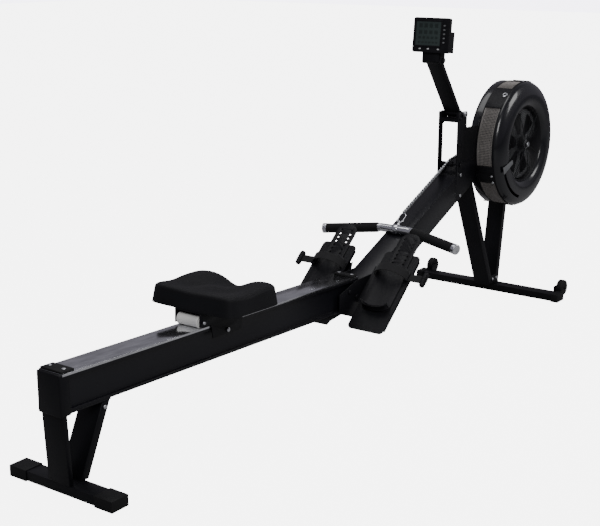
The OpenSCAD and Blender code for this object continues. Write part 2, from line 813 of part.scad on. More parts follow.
// shutter with open sectors, and the lever that reaches out through the cover
module damper_ring() {
    rim = inlet_r - 8;
    at_centre() color("#9fa2a6") on_fan() rotate([0, 0, -lever_at]) {
        translate([0, 0, damper_y - 1]) difference() {
            cylinder(r = rim, h = 2, $fn = 128);
            translate([0, 0, -1]) cylinder(r = hub_r + run, h = 4);
            for (a = [30:60:330]) rotate([0, 0, a - 18]) rotate_extrude(angle = 36, $fn = 96)
                translate([hub_r + 12, -1]) square([rim - hub_r - 26, 4]);
        }
        translate([rim - 4, -7, damper_y - 1]) cube([slot_r - rim + 6, 14, 2]);
        translate([slot_r - 2, -7, face_y - 2]) cube([4, 14, damper_y - face_y + 3]);
        translate([0, 0, face_y - 4]) linear_extrude(2.5)
            polygon([[lever_in, -8], [lever_out, -13], [lever_out, 13], [lever_in, 8]]);
    }
}

// seat carriage
module side_profile() {
    up = roller_d / 2 + 10;
    polygon([
        [-roller_x - 12, 6], [-roller_x - 12, up], [roller_x + 12, up], [roller_x + 12, 6],
        [68, 2], [60, guide_z - 12], [-60, guide_z - 12], [-68, 2]]);
}

module seat_frame() {
    pan_z = seat_under - pan_t;
    at_centre() color("#1d1f24") on_rail() translate([seat_x, 0, 0]) difference() {
        union() {
            box(-roller_x - 12, roller_x + 12, -side_in - side_t, side_in + side_t, pan_z, seat_under);
            for (side = [-1, 1]) {
                across(side_t, side * (side_in + side_t / 2)) side_profile();
                mirror([0, side < 0 ? 1 : 0, 0])
                    box(-roller_x - 12, roller_x + 12, side_in, side_in + side_t, 20, pan_z);
            }
            // pins of the rollers and of the guide wheels
            for (x = [-roller_x, roller_x]) translate([x, 0, roller_d / 2 + skin])
                rod_y(roller_pin, -side_in - side_t - 4, side_in + side_t + 4);
            for (side = [-1, 1]) mirror([0, side < 0 ? 1 : 0, 0]) translate([0, 0, guide_z])
                union() {
                    rod_y(4, rail_half - guide_w - 1, side_in + side_t);
                    rod_y(6.5, side_in + side_t - 1, side_in + side_t + 4);
                }
        }
    }
}

module seat_pad() {
    z0 = seat_under + gap;
    n = 32;
    at_centre() color("#1a1b1e") on_rail() translate([seat_x, 0, 0]) hull() {
        for (x = [-1, 1], y = [-1, 1]) {
            translate([x * (seat_len / 2 - 22), y * (seat_w / 2 - 22), z0]) cylinder(r = 22, h = 20, $fn = n);
            translate([x * (seat_len / 2 - 30), y * (seat_w / 2 - 34), z0 + seat_h - 12])
                sphere(r = 12, $fn = n);
        }
    }
}

module seat_roller(x) {
    at_centre() color("#dcdcd8") on_rail() translate([seat_x + x, 0, roller_d / 2 + skin])
        rotate([-90, 0, 0]) difference() {
            cylinder(r = roller_d / 2, h = roller_len, center = true);
            cylinder(r = roller_pin + run, h = roller_len + 2, center = true);
        }
}
module rear_roller() { seat_roller(-roller_x); }
module front_roller() { seat_roller(roller_x); }

module guide_wheels() {
    at_centre() color("#dcdcd8") on_rail() translate([seat_x, 0, guide_z])
        for (side = [-1, 1]) translate([0, side * (rail_half - guide_w / 2 + 0.5), 0])
            rotate([-90, 0, 0]) difference() {
                cylinder(r = guide_d / 2, h = guide_w, center = true);
                cylinder(r = 4 + run, h = guide_w + 2, center = true);
            }
}

// handle: drawn in beam coordinates with its middle over the beam
module on_handle() { on_beam() translate([handle_at[0], 0, handle_at[1]]) children(); }

// coordinates of one side of the handle: Z outwards along the bent tube
module handle_side(side) {
    translate([0, side * centre_half, 0]) rotate([-side * 90, 0, 0])
        rotate([0, -handle_bend, 0]) children();
}

module handle_bar() {
    arm = (handle_w / 2 - centre_half) / cos(handle_bend);
    at_centre() color("#c9ccd0") on_handle() {
        rod_y(handle_d / 2, -centre_half, centre_half);
        for (side = [-1, 1]) handle_side(side) {
            sphere(r = handle_d / 2);
            cylinder(r = handle_d / 2, h = arm - end_len);
            translate([0, 0, arm - end_len]) cylinder(r = grip_d / 2, h = end_len);
        }
    }
}

module handle_grips() {
    arm = (handle_w / 2 - centre_half) / cos(handle_bend);
    at_centre() color("#17181a") on_handle() for (side = [-1, 1]) handle_side(side)
        translate([0, 0, grip_from]) difference() {
            cylinder(r = grip_d / 2, h = arm - end_len - grip_from - skin);
            translate([0, 0, -1]) cylinder(r = handle_d / 2 + skin, h = arm);
        }
}

// oval ring on an eye that stands on the handle
module chain_ring() {
    at_centre() color("#d5d8dc") on_handle() rotate([0, -ring_tilt, 0]) {
        difference() {
            union() {
                box(8, 19, -7, 7, -9, 9);
                translate([14, 0, 0]) rotate([0, 90, 0])
                    cylinder(r = 5, h = ring_out - ring_half - ring_w / 2 - 13);
            }
            rod_y(handle_d / 2 + skin, -20, 20);
        }
        translate([ring_out, 0, 0]) difference() {
            union() {
                for (x = [-ring_half, ring_half]) translate([x, 0, 0])
                    rod_y(ring_w / 2, -ring_wire / 2, ring_wire / 2);
                cube([2 * ring_half, ring_wire, ring_w], center = true);
            }
            for (x = [-ring_half, ring_half]) translate([x, 0, 0])
                rod_y(ring_w / 2 - ring_wire, -5, 5);
            cube([2 * ring_half, 10, ring_w - 2 * ring_wire], center = true);
        }
    }
}

module chain_run() {
    x0 = handle_at[0] + ring_front + gap;
    x1 = (guide_x - beam_ref_x) / cos(beam_slope) + chain_rise * beam_tan;
    at_centre() color("#b9bcc0") on_beam()
        box(x0, x1, -chain_w / 2, chain_w / 2, chain_rise - chain_h / 2, chain_rise + chain_h / 2);
}

module heel_cup(side) {
    z0 = gap;
    wall_r = 88;
    half = 34;
    at_centre() color("#1f2126") on_board(side) difference() {
        union() {
            translate([0, 0, z0]) linear_extrude(cup_t) union() {
                polygon(round_box(cup_start, 250, -50, 50, 16));
                polygon(round_box(200, neck_end, -neck_w / 2, neck_w / 2, neck_w / 2 - 4));
            }
            // curved wall behind the heel
            translate([cup_start + wall_r, 0, z0]) rotate([0, 0, 180 - half])
                rotate_extrude(angle = 2 * half, $fn = 96)
                    translate([wall_r - 4, 0]) square([4, 27]);
        }
        for (i = [0:neck_rows - 1], s = [-1, 1])
            translate([neck_end - 26 - i * hole_pitch, s * 19.5, -5]) cylinder(r = 3.4, h = 20, $fn = 24);
    }
}
module heel_cup_left() { heel_cup(1); }
module heel_cup_right() { heel_cup(-1); }

// strap over the foot, with a tail and a T-shaped pull at the outer side
module foot_strap(side) {
    z0 = skin;
    half = board_w / 2 - 4;
    rise = 46;
    t = 2.5;
    n = 18;
    outer = [for (i = [0:n]) let (a = 180 * i / n) [half * cos(a), rise * sin(a) + z0]];
    inner = [for (i = [n:-1:0]) let (a = 180 * i / n) [(half - t) * cos(a), (rise - t) * sin(a) + z0]];
    at_centre() color("#232428") on_board(side) mirror([0, side < 0 ? 1 : 0, 0])
        translate([strap_x, 0, 0]) {
            forwards(strap_w) polygon(concat(outer, inner));
            box(2, strap_w - 2, half - t, half + 52, z0, z0 + t + 1);
            box(-8, strap_w + 8, half + 50, half + 62, z0 - 4, z0 + 9);
        }
}
module foot_strap_left() { foot_strap(1); }
module foot_strap_right() { foot_strap(-1); }

module monitor_arm() {
    at_centre() color("#1d1f24") on_arm() difference() {
        union() {
            box(-7, 7, -arm_w / 2, arm_w / 2, 4, arm_len - 4);
            for (z = [0, arm_len]) translate([0, 0, z])
                rod_y(boss_r, -arm_w / 2, arm_w / 2);
        }
        for (z = [0, arm_len]) translate([0, 0, z]) rod_y(pivot_r + run, -arm_w, arm_w);
    }
}

// an oval button: its long side across the monitor
module oval(grow, len) {
    r = key_sizes[1] / 2 + grow;
    d = (key_sizes[0] - key_sizes[1]) / 2;
    rotate([0, 90, 0]) {
        for (s = [-1, 1]) translate([0, s * d, 0]) cylinder(r = r, h = len, $fn = 32);
        translate([-r, -d, 0]) cube([2 * r, 2 * d, len]);
    }
}

module monitor_case() {
    ear_in = arm_w / 2 + gap;
    front = case_front;
    at_centre() color("#1b1c20") on_monitor() difference() {
        union() {
            translate([front, 0, case_z]) rotate([90, 0, 90]) linear_extrude(slab_t)
                polygon(round_box(-monitor_w / 2, monitor_w / 2, 0, monitor_h, 8));
            box(front + slab_t, front + slab_t + rear_box, -monitor_w / 2 + 4, monitor_w / 2 - 4,
                case_z + 2, case_z + rear_box_h);
            for (side = [-1, 1]) mirror([0, side < 0 ? 1 : 0, 0])
                box(-15, 13, ear_in, ear_in + ear_w, -13, case_z + 4);
            rod_y(pivot_r, -ear_in - 1, ear_in + 1);
            rod_y(9, -ear_in - ear_w - 6, -ear_in - ear_w + 1);
        }
        // window and button wells
        box(front - 1, front + 2.5, -36, 60, case_z + 24, case_z + 104);
        for (i = [0:4]) translate([front - 1, button_y, button_z0 + i * button_pitch]) oval(gap, 10);
        for (y = key_y) translate([front - 1, y, key_z]) oval(gap, 10);
    }
}

module monitor_screen() {
    at_centre() color("#8d9a8a") on_monitor()
        box(case_front + 1, case_front + 2.4, -36 + skin, 60 - skin, case_z + 24 + skin, case_z + 104 - skin);
}

module button(y, z) {
    at_centre() color("#7c8085") on_monitor() translate([case_front - 2, y, z]) oval(0, 8);
}
module button_1() { button(button_y, button_z0 + 4 * button_pitch); }
module button_2() { button(button_y, button_z0 + 3 * button_pitch); }
module button_3() { button(button_y, button_z0 + 2 * button_pitch); }
module button_4() { button(button_y, button_z0 + button_pitch); }
module button_5() { button(button_y, button_z0); }
module key_left() { button(key_y[0], key_z); }
module key_middle() { button(key_y[1], key_z); }
module key_right() { button(key_y[2], key_z); }

rear_foot_tube();
foot_caps();
rear_legs();
frame_bolts();
monorail();
track();
rail_stops();
head_box();
front_beam();
junction_plates();
frame_latch();
footboard_left();
footboard_right();
footrest_bar();
front_legs();
front_foot_tube();
upright_left();
upright_right();
head_block();
outlet_band();
cage_clamps();
cover_left();
cover_right();
inlet_grille();
axle();
axle_bearings();
chain_guard();
return_chain();
shock_cord();
guide_roller();
flywheel();
fan_blades();
sprocket();
damper_ring();
wheel_left();
wheel_right();
seat_frame();
seat_pad();
rear_roller();
front_roller();
guide_wheels();
handle_bar();
handle_grips();
chain_ring();
chain_run();
heel_cup_left();
heel_cup_right();
foot_strap_left();
foot_strap_right();
monitor_arm();
monitor_case();
monitor_screen();
button_1();
button_2();
button_3();
button_4();
button_5();
key_left();
key_middle();
key_right();
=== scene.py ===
# %% [markdown]
# A rowing machine, finished in Blender around its engineering model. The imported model
# gives every tube, pin and bearing at its real size; this lesson adds rounded edges,
# moulded covers, foam, a perforated band and a real chain, then the finishes and lights.

# %% Load the frame
import json
from math import asin, cos, exp, pi, radians, sin, sqrt, tan
import bpy
from mathutils import Matrix, Vector
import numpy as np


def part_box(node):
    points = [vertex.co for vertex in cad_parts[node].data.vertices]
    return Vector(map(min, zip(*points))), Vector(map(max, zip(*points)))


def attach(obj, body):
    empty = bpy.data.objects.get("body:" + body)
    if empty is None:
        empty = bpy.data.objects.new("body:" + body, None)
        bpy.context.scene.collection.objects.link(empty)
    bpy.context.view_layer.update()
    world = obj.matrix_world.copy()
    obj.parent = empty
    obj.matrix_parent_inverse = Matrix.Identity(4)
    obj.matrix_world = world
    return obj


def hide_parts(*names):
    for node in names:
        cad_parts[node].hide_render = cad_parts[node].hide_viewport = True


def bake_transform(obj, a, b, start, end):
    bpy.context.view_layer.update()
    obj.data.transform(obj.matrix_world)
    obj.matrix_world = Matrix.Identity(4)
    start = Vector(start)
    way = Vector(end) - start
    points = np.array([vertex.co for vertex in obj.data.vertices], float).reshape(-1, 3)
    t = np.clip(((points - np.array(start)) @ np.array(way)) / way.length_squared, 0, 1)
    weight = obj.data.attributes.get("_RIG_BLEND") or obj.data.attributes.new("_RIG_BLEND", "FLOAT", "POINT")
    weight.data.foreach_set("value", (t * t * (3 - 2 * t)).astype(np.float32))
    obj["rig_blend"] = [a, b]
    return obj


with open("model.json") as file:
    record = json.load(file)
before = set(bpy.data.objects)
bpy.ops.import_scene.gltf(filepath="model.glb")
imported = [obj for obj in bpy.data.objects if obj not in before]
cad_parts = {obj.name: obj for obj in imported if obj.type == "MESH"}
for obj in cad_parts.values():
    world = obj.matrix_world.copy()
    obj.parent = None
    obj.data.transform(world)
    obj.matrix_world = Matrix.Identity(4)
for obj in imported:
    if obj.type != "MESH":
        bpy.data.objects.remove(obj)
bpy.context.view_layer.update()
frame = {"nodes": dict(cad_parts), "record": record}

nodes = frame["nodes"]
node_slot = {s["node"]: s["material_slot"] for s in frame["record"]["subparts"]}
node_body = {n: b for b, ns in frame["record"]["behaviour"]["bodies"].items() for n in ns}
print(len(nodes), "packed pieces")

# %% [markdown]
# The machine has a few slopes of its own: the rail, the beam and the footboards. Each
# gets a frame that turns a place on it into a place in the room, so a piece can be drawn
# flat and then laid where it belongs.

# %% The machine's own slopes
MIDDLE = 1.2097                      # station of the box's middle, from the rear foot
RAIL = radians(2.0)
BEAM = radians(23.7)
BOARD = radians(40.7)
RAIL_TOP = 0.319
BEAM_REF = (1.504, 0.347)
BOARD_REF = (1.140, 0.135)           # lower edge of the footboards
BOARD_OUT = 0.123                    # their middle, out from the centre plane
FAN = Vector((2.233 - MIDDLE, 0.0, 0.579))


def tilted(x, z, angle):
    """A frame at a station and height, turned nose down by angle about the cross axis."""
    return Matrix.Translation((x - MIDDLE, 0, z)) @ Matrix.Rotation(angle, 4, "Y")


on_rail = tilted(0, RAIL_TOP, RAIL)
on_beam = tilted(*BEAM_REF, -BEAM)


def on_board(side):
    return Matrix.Translation((0, side * BOARD_OUT, 0)) @ tilted(*BOARD_REF, -BOARD)


def beam_top(x):
    return BEAM_REF[1] + (x - BEAM_REF[0]) * tan(BEAM)


# %% [markdown]
# Every operator works on what is selected, so a clean start comes before each piece.
# A finished piece keeps its place in its mesh: the object itself sits at the origin.

# %% Tools for every piece
def clean_start():
    """Object mode, with nothing selected."""
    if bpy.context.object and bpy.context.object.mode != "OBJECT":
        bpy.ops.object.mode_set(mode="OBJECT")
    bpy.ops.object.select_all(action="DESELECT")


def only(obj):
    """Select one piece and make it the active one."""
    clean_start()
    bpy.context.view_layer.objects.active = obj
    obj.select_set(True)


def settle(obj, matrix=None):
    """Lay a piece in its place and put that place into its mesh."""
    only(obj)
    if matrix is not None:
        obj.matrix_world = matrix @ obj.matrix_world
    bpy.ops.object.transform_apply(location=True, rotation=True, scale=True)
    return obj


def smooth(obj, angle=35):
    only(obj)
    bpy.ops.object.shade_smooth_by_angle(angle=radians(angle))
    return obj


def tidy(obj, gap=0.00001):
    """Merge doubles and point the faces outwards."""
    only(obj)
    bpy.ops.object.mode_set(mode="EDIT")
    bpy.ops.mesh.select_all(action="SELECT")
    bpy.ops.mesh.remove_doubles(threshold=gap)
    bpy.ops.mesh.normals_make_consistent(inside=False)
    bpy.ops.object.mode_set(mode="OBJECT")
    return obj


def modifier(obj, kind, **settings):
    """Add a modifier with its settings, and apply it."""
    only(obj)
    m = obj.modifiers.new(kind.title(), kind)
    for key, value in settings.items():
        setattr(m, key, value)
    bpy.ops.object.modifier_apply(modifier=m.name)
    return obj


def bevelled(obj, width, segments=2, angle=30):
    return modifier(obj, "BEVEL", width=width, segments=segments, limit_method="ANGLE",
                    angle_limit=radians(angle), use_clamp_overlap=True)


def named(obj, name, slot, body, stands_for=(), look=None):
    """Name a piece, say what it moves with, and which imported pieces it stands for."""
    obj.name = name
    obj.data.name = name
    if body:
        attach(obj, body)
    if stands_for:
        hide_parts(*stands_for)
    new_pieces.append((obj, look or slot))
    return obj


def joined(parts):
    """Join pieces into the first of them."""
    clean_start()
    for p in parts:
        p.select_set(True)
    bpy.context.view_layer.objects.active = parts[0]
    if len(parts) > 1:
        bpy.ops.object.join()
    return parts[0]


def copy_of(obj, matrix):
    """A copy with a mesh of its own, moved by matrix."""
    twin = obj.copy()
    twin.data = obj.data.copy()
    bpy.context.scene.collection.objects.link(twin)
    twin.data.transform(matrix)
    return twin


new_pieces = []

# %% [markdown]
# Turned parts, such as rollers, hubs and covers, start as one circle. The circle is
# extruded along the axis and scaled at each station of the profile, as on a lathe.

# %% A lathe
AXES = {"X": ((0, pi / 2, 0), Vector((1, 0, 0))), "Y": ((-pi / 2, 0, 0), Vector((0, 1, 0))),
        "Z": ((0, 0, 0), Vector((0, 0, 1)))}


def turned(stations, centre=(0, 0, 0), axis="Y", sides=64, hollow=False):
    """stations are (radius, distance along the axis); hollow ones close on themselves."""
    clean_start()
    turn, way = AXES[axis]
    centre = Vector(centre)
    r, d = stations[0]
    bpy.ops.mesh.primitive_circle_add(vertices=sides, radius=r, location=centre + way * d,
                                      rotation=turn, fill_type="NOTHING" if hollow else "NGON")
    bpy.ops.object.mode_set(mode="EDIT")
    for r2, d2 in stations[1:]:
        bpy.ops.mesh.extrude_region_move(TRANSFORM_OT_translate={"value": way * (d2 - d)})
        k = r2 / r
        if abs(k - 1) > 1e-6:
            bpy.ops.transform.resize(value=(k, k, k), center_override=centre + way * d2)
        r, d = r2, d2
    bpy.ops.object.mode_set(mode="OBJECT")
    return tidy(settle(bpy.context.object))


def block(low, high):
    """A box between two corners."""
    clean_start()
    low, high = Vector(low), Vector(high)
    bpy.ops.mesh.primitive_cube_add(size=1, location=(low + high) / 2)
    bpy.context.object.scale = high - low
    return settle(bpy.context.object)


# %% [markdown]
# The steel and plastic pieces of the frame have the right shape but knife-sharp edges.
# A copy of each is merged, its flat faces are joined, and a small bevel rounds the edges,
# so that they catch the light as folded and ground metal does.

# %% Ease the edges of the frame's pieces
def clean_copy(node):
    """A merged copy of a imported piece, free of its links and marks."""
    only(nodes[node])
    twin = nodes[node].copy()
    twin.data = nodes[node].data.copy()
    twin.parent = None
    for key in [k for k in twin.keys() if k.startswith("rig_")]:
        del twin[key]
    bpy.context.scene.collection.objects.link(twin)
    only(twin)
    bpy.ops.object.mode_set(mode="EDIT")
    bpy.ops.mesh.select_all(action="SELECT")
    bpy.ops.mesh.remove_doubles(threshold=0.00002)
    bpy.ops.mesh.dissolve_limited(angle_limit=radians(1.0))
    bpy.ops.object.mode_set(mode="OBJECT")
    return twin


def eased(node, width, segments=2):
    twin = smooth(bevelled(clean_copy(node), width, segments))
    return named(twin, node + "_eased", node_slot[node], node_body[node], (node,))


EASED = {
    "rear_foot_tube": 0.003, "foot_caps": 0.004, "rear_legs": 0.002, "monorail": 0.0012,
    "track": 0.0003, "rail_stops": 0.0015, "front_beam": 0.003, "junction_plates": 0.001,
    "frame_latch": 0.002, "footboard_left": 0.0012, "footboard_right": 0.0012,
    "front_legs": 0.002, "front_foot_tube": 0.002, "upright_left": 0.001,
    "upright_right": 0.001, "head_box": 0.001, "head_block": 0.0012, "cage_clamps": 0.001,
    "seat_frame": 0.0006, "monitor_arm": 0.002, "heel_cup_left": 0.0008,
    "heel_cup_right": 0.0008, "chain_guard": 0.001, "wheel_left": 0.002,
    "wheel_right": 0.002, "damper_ring": 0.0004, "cover_left": 0.0012,
    "button_1": 0.0006, "button_2": 0.0006, "button_3": 0.0006, "button_4": 0.0006,
    "button_5": 0.0006, "key_left": 0.001, "key_middle": 0.001, "key_right": 0.001,
}
LEG_HALF = 0.025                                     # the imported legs, without their feet
WIDER = {"rear_legs": 1.48, "front_legs": 1.30}      # the legs' folded flanges
for node, width in EASED.items():
    piece = eased(node, width)
    for v in piece.data.vertices:
        if abs(v.co.y) < LEG_HALF + 0.0005:
            v.co.y *= WIDER.get(node, 1)
print(len(EASED), "pieces eased")

# %% [markdown]
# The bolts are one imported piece. It is separated into single bolts, whose heads are
# domed with a wide bevel. Those on the head's upper corners and on the junction's sides
# are blackened; the rest are zinc plated. The legs' bolts move out with the wider legs.

# %% Domed bolt heads
LEG_TOP, JUNCTION_TOP, HEAD_LOW = 0.21, 0.25, 0.60   # heights that tell the bolts apart
only(clean_copy("frame_bolts"))
bpy.ops.object.mode_set(mode="EDIT")
bpy.ops.mesh.select_all(action="SELECT")
bpy.ops.mesh.separate(type="LOOSE")
bpy.ops.object.mode_set(mode="OBJECT")
plated, blackened = [], []
for bolt in list(bpy.context.selected_objects):
    bevelled(bolt, 0.0016, 3)
    middle = sum((v.co for v in bolt.data.vertices), Vector()) / len(bolt.data.vertices)
    at_side = abs(middle.y) > 0.038
    upper, junction = middle.z > HEAD_LOW, middle.z < JUNCTION_TOP
    if middle.z < LEG_TOP and 0.02 < abs(middle.y) < 0.03:
        grown = LEG_HALF * (WIDER["rear_legs" if middle.x < 0 else "front_legs"] - 1)
        bolt.data.transform(Matrix.Translation((0, grown * (1 if middle.y > 0 else -1), 0)))
    guide_pin = abs(middle.y) < 0.001 and 0.52 < middle.z < 0.56
    dark = at_side and (upper or junction) or guide_pin
    (blackened if dark else plated).append(bolt)
named(smooth(joined(plated), 50), "plated_bolts", "zinc", "frame", ("frame_bolts",))
named(smooth(joined(blackened), 50), "blackened_bolts", "black_plastic", "frame")

# %% [markdown]
# A pressed cap closes the rail's rear end, from the stop down to the leg.

# %% Rear end cap
CAP_PROUD, CAP_DEEP, CAP_HALF, CAP_LOW, CAP_HIGH = 0.0005, 0.034, 0.0405, 0.2115, 0.3195
rail_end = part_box("rear_legs")[0].x
end_cap = block((rail_end - CAP_PROUD, -CAP_HALF, CAP_LOW), (rail_end + CAP_DEEP, CAP_HALF, CAP_HIGH))
named(smooth(bevelled(end_cap, 0.004, 3)), "rear_end_cap", "frame_steel", "frame")

# %% [markdown]
# The seat is one moulded skin of soft foam: two hollows for the sitting bones, a valley
# between them, raised wings at the sides and a skirt all round. A finely divided cube is
# pressed into that form by moving its points, then subdivided.

# %% The moulded seat
SEAT_X, SEAT_L, SEAT_W, SEAT_H = 0.570, 0.226, 0.302, 0.056
CORNER, EDGE_R, FLARE = 8, 0.010, 0.045


def bump_at(value, middle, width):
    """A smooth hill of height one."""
    return exp(-((value - middle) / width) ** 2)


def seat_height(x, y):
    """Height of the skin over the skirt's lower edge, for x and y from -1 to 1."""
    hollows = 0.013 * bump_at(abs(y), 0.42, 0.28) * bump_at(x, -0.15, 0.50)
    front = min(1, max(0, (x + 0.30) / 1.10))
    valley = 0.025 * bump_at(y, 0, 0.30) * front * front * (3 - 2 * front)
    tail = 0.004 * bump_at(y, 0, 0.30) * bump_at(x, -1, 0.5)
    flanks = 0.006 * abs(y) ** 4 * bump_at(x, -0.25, 0.35)
    crown = 0.003 * bump_at(abs(y), 0.72, 0.25) * bump_at(x, 0.75, 0.5)
    return SEAT_H - 0.003 - hollows - valley - tail - flanks + crown


def mould_seat():
    """The pad, drawn flat with its lower edge at height nought."""
    clean_start()
    bpy.ops.mesh.primitive_cube_add(size=2)
    seat = bpy.context.object
    bpy.ops.object.mode_set(mode="EDIT")
    bpy.ops.mesh.select_all(action="SELECT")
    bpy.ops.mesh.subdivide(number_cuts=31)
    bpy.ops.object.mode_set(mode="OBJECT")
    for v in seat.data.vertices:
        a, b, c = v.co
        a, b = sin(a * pi / 2), sin(b * pi / 2)          # points gather at the edges
        rho = max(abs(a), abs(b), 1e-6)
        square = rho / max(1e-6, (abs(a) ** CORNER + abs(b) ** CORNER) ** (1 / CORNER))
        x, y = a * square, b * square
        top = seat_height(x, y)
        near_edge = min(1.0, max(0.0, (rho - 1) * SEAT_L / 2 / EDGE_R + 1))
        drop = EDGE_R * (1 - sqrt(max(0.0, 1 - near_edge ** 2)))
        up = (c + 1) / 2
        if c > 0.999:
            z, spread = top - drop, 1 - FLARE
        elif c < -0.999:
            z, spread = 0.004 * (1 - rho), 1.0
        else:
            z, spread = (top - EDGE_R) * up, 1 - FLARE * up
        v.co = (x * SEAT_L / 2 * spread, y * SEAT_W / 2 * spread, z)
    return modifier(seat, "SUBSURF", levels=1, render_levels=1)


seat_skin = mould_seat()
PAD_OVER_TRACK = 0.0453
settle(seat_skin, on_rail @ Matrix.Translation((SEAT_X, 0, PAD_OVER_TRACK)))
smooth(tidy(seat_skin), 60)
named(seat_skin, "seat_skin", "seat_foam", "seat", ("seat_pad",))

# %% [markdown]
# The seat's rollers and guide wheels are turned from white plastic, and the chain's
# guide roller from black. Each has a shallow waist between two raised ends.

# %% Seat rollers and guide wheels
ROLLER_R, ROLLER_HALF, PIN_R, ROLLER_OUT = 0.017, 0.038, 0.00505, 0.102
GUIDE_BORE = 0.0042
WHEEL_R, WHEEL_HALF, WHEEL_BORE = 0.0099, 0.004, 0.00405


def roller(centre, r, half, bore):
    """A waisted roller with a small step at each end."""
    lip = r * 0.12
    return turned([(bore, -half), (r * 0.62, -half), (r * 0.66, -half + 0.0015),
                   (r - 0.001, -half + 0.0015), (r, -half + 0.0025), (r, -half + 0.007),
                   (r - lip * 0.4, -half + 0.009), (r - lip * 0.4, half - 0.009),
                   (r, half - 0.007), (r, half - 0.0025), (r - 0.001, half - 0.0015),
                   (r * 0.66, half - 0.0015), (r * 0.62, half), (bore, half), (bore, -half)],
                  centre, "Y", 64, hollow=True)


for name, offset in (("rear_roller", -ROLLER_OUT), ("front_roller", ROLLER_OUT)):
    centre = on_rail @ Vector((SEAT_X + offset, 0, ROLLER_R + 0.0001))
    smooth(named(roller(centre, ROLLER_R, ROLLER_HALF, PIN_R), name + "_turned",
                 "roller_plastic", name, (name,)))
low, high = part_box("guide_roller")
smooth(named(roller((low + high) / 2, (high.z - low.z) / 2, (high.y - low.y) / 2, GUIDE_BORE),
             "guide_roller_turned", "black_plastic", node_body["guide_roller"],
             ("guide_roller",)))
low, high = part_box("guide_wheels")
guide_at = (low + high) / 2
wheels = []
for side in (-1, 1):
    centre = Vector((guide_at.x, side * (high.y - WHEEL_HALF), guide_at.z))
    wheels.append(roller(centre, WHEEL_R, WHEEL_HALF - 0.0002, WHEEL_BORE))
smooth(named(joined(wheels), "guide_wheels_turned", "roller_plastic", "guide_wheels",
             ("guide_wheels",)))

# %% Caps on the seat's pins
pin_at = on_rail @ Vector((SEAT_X - ROLLER_OUT, 0, ROLLER_R + 0.0001))
frame_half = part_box("seat_frame")[1].y
caps = []
for side in (-1, 1):
    for place, r in ((pin_at, 0.0055), (guide_at, 0.0065)):
        face = side * (frame_half - 0.0002)
        caps.append(turned([(r, face), (r, face + side * 0.0016), (r * 0.8, face + side * 0.0030),
                            (r * 0.35, face + side * 0.0038)],
                           (place.x, 0, place.z), "Y", 32))
smooth(named(joined(caps), "seat_pin_caps", "zinc", "seat"), 50)

# %% [markdown]
# The outlet band is perforated sheet. A ring of small squares is made on the lathe, the
# Wireframe modifier turns its edges into the metal between the holes, and two plain
# rims close it at the sides.

# %% The perforated band
CAGE_R, SHEET, RIM_W = 0.230, 0.002, 0.006
BAND_RIGHT, BAND_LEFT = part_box("outlet_band")[0].y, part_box("outlet_band")[1].y
ROWS, COLUMNS = 11, 240
mesh_rows = [(CAGE_R - 0.0012,
              BAND_RIGHT + RIM_W / 2 + (BAND_LEFT - BAND_RIGHT - RIM_W) * i / ROWS)
             for i in range(ROWS + 1)]


def open_tube(stations, centre, sides):
    """A tube of one radius, in rows of quads and open at both ends."""
    clean_start()
    r, d = stations[0]
    bpy.ops.mesh.primitive_circle_add(vertices=sides, radius=r, rotation=AXES["Y"][0],
                                      location=Vector(centre) + Vector((0, d, 0)),
                                      fill_type="NOTHING")
    bpy.ops.object.mode_set(mode="EDIT")
    for r2, d2 in stations[1:]:
        bpy.ops.mesh.extrude_region_move(TRANSFORM_OT_translate={"value": (0, d2 - d, 0)})
        d = d2
    bpy.ops.object.mode_set(mode="OBJECT")
    return tidy(settle(bpy.context.object))


lattice = open_tube(mesh_rows, FAN, COLUMNS)
modifier(lattice, "WIREFRAME", thickness=0.0026, use_even_offset=True, use_boundary=True)
rims = []
for y0, y1 in ((BAND_RIGHT, BAND_RIGHT + RIM_W), (BAND_LEFT - RIM_W, BAND_LEFT)):
    rims.append(turned([(CAGE_R - SHEET, y0), (CAGE_R, y0), (CAGE_R, y1),
                        (CAGE_R - SHEET, y1), (CAGE_R - SHEET, y0)], FAN, "Y", 160, True))
named(joined([lattice] + rims), "perforated_band", "band_metal", "frame", ("outlet_band",))

# %% [markdown]
# Short plates close the band where the cage's clamps grip it. The rear upper one is
# broad and carries a wire clip; each of the others has a bolt or two near its edge.

# %% Clamp plates on the band
PLATES = ((113, 134), (198, 212), (262, 272), (322, 332), (22, 32), (82, 92))
PLATE_BOLTS = (204, 211, 267, 327, 27, 87)
CLIP_AT = 123


def fan_point(angle, r, y):
    """A place by its angle from forwards towards up, its radius and its depth."""
    return FAN + Vector((r * cos(radians(angle)), y, r * sin(radians(angle))))


def arc_bar(a0, a1, r0, r1, y0, y1, steps=24):
    """A bar of square section that follows an arc about the fan's axle."""
    clean_start()
    bpy.ops.mesh.primitive_plane_add(size=1)
    bar = bpy.context.object
    settle(bar)
    corners = [(r0, y0), (r1, y0), (r1, y1), (r0, y1)]
    order = sorted(range(4), key=lambda i: (bar.data.vertices[i].co.y > 0,
                                            bar.data.vertices[i].co.x > 0))
    for i, (r, y) in zip((order[0], order[1], order[3], order[2]), corners):
        bar.data.vertices[i].co = fan_point(a0, r, y)
    bpy.ops.object.mode_set(mode="EDIT")
    bpy.ops.mesh.select_all(action="SELECT")
    bpy.ops.mesh.spin(steps=steps, angle=radians(a1 - a0), center=FAN, axis=(0, 1, 0), dupli=False)
    bpy.ops.object.mode_set(mode="OBJECT")
    return tidy(bar)


def standing(angle, r, y):
    """A place on the band with Z pointing straight out from the axle."""
    out = fan_point(angle, 1, 0) - FAN
    return Matrix.Translation(fan_point(angle, r, y)) @ \
        Vector((0, 0, 1)).rotation_difference(out).to_matrix().to_4x4()


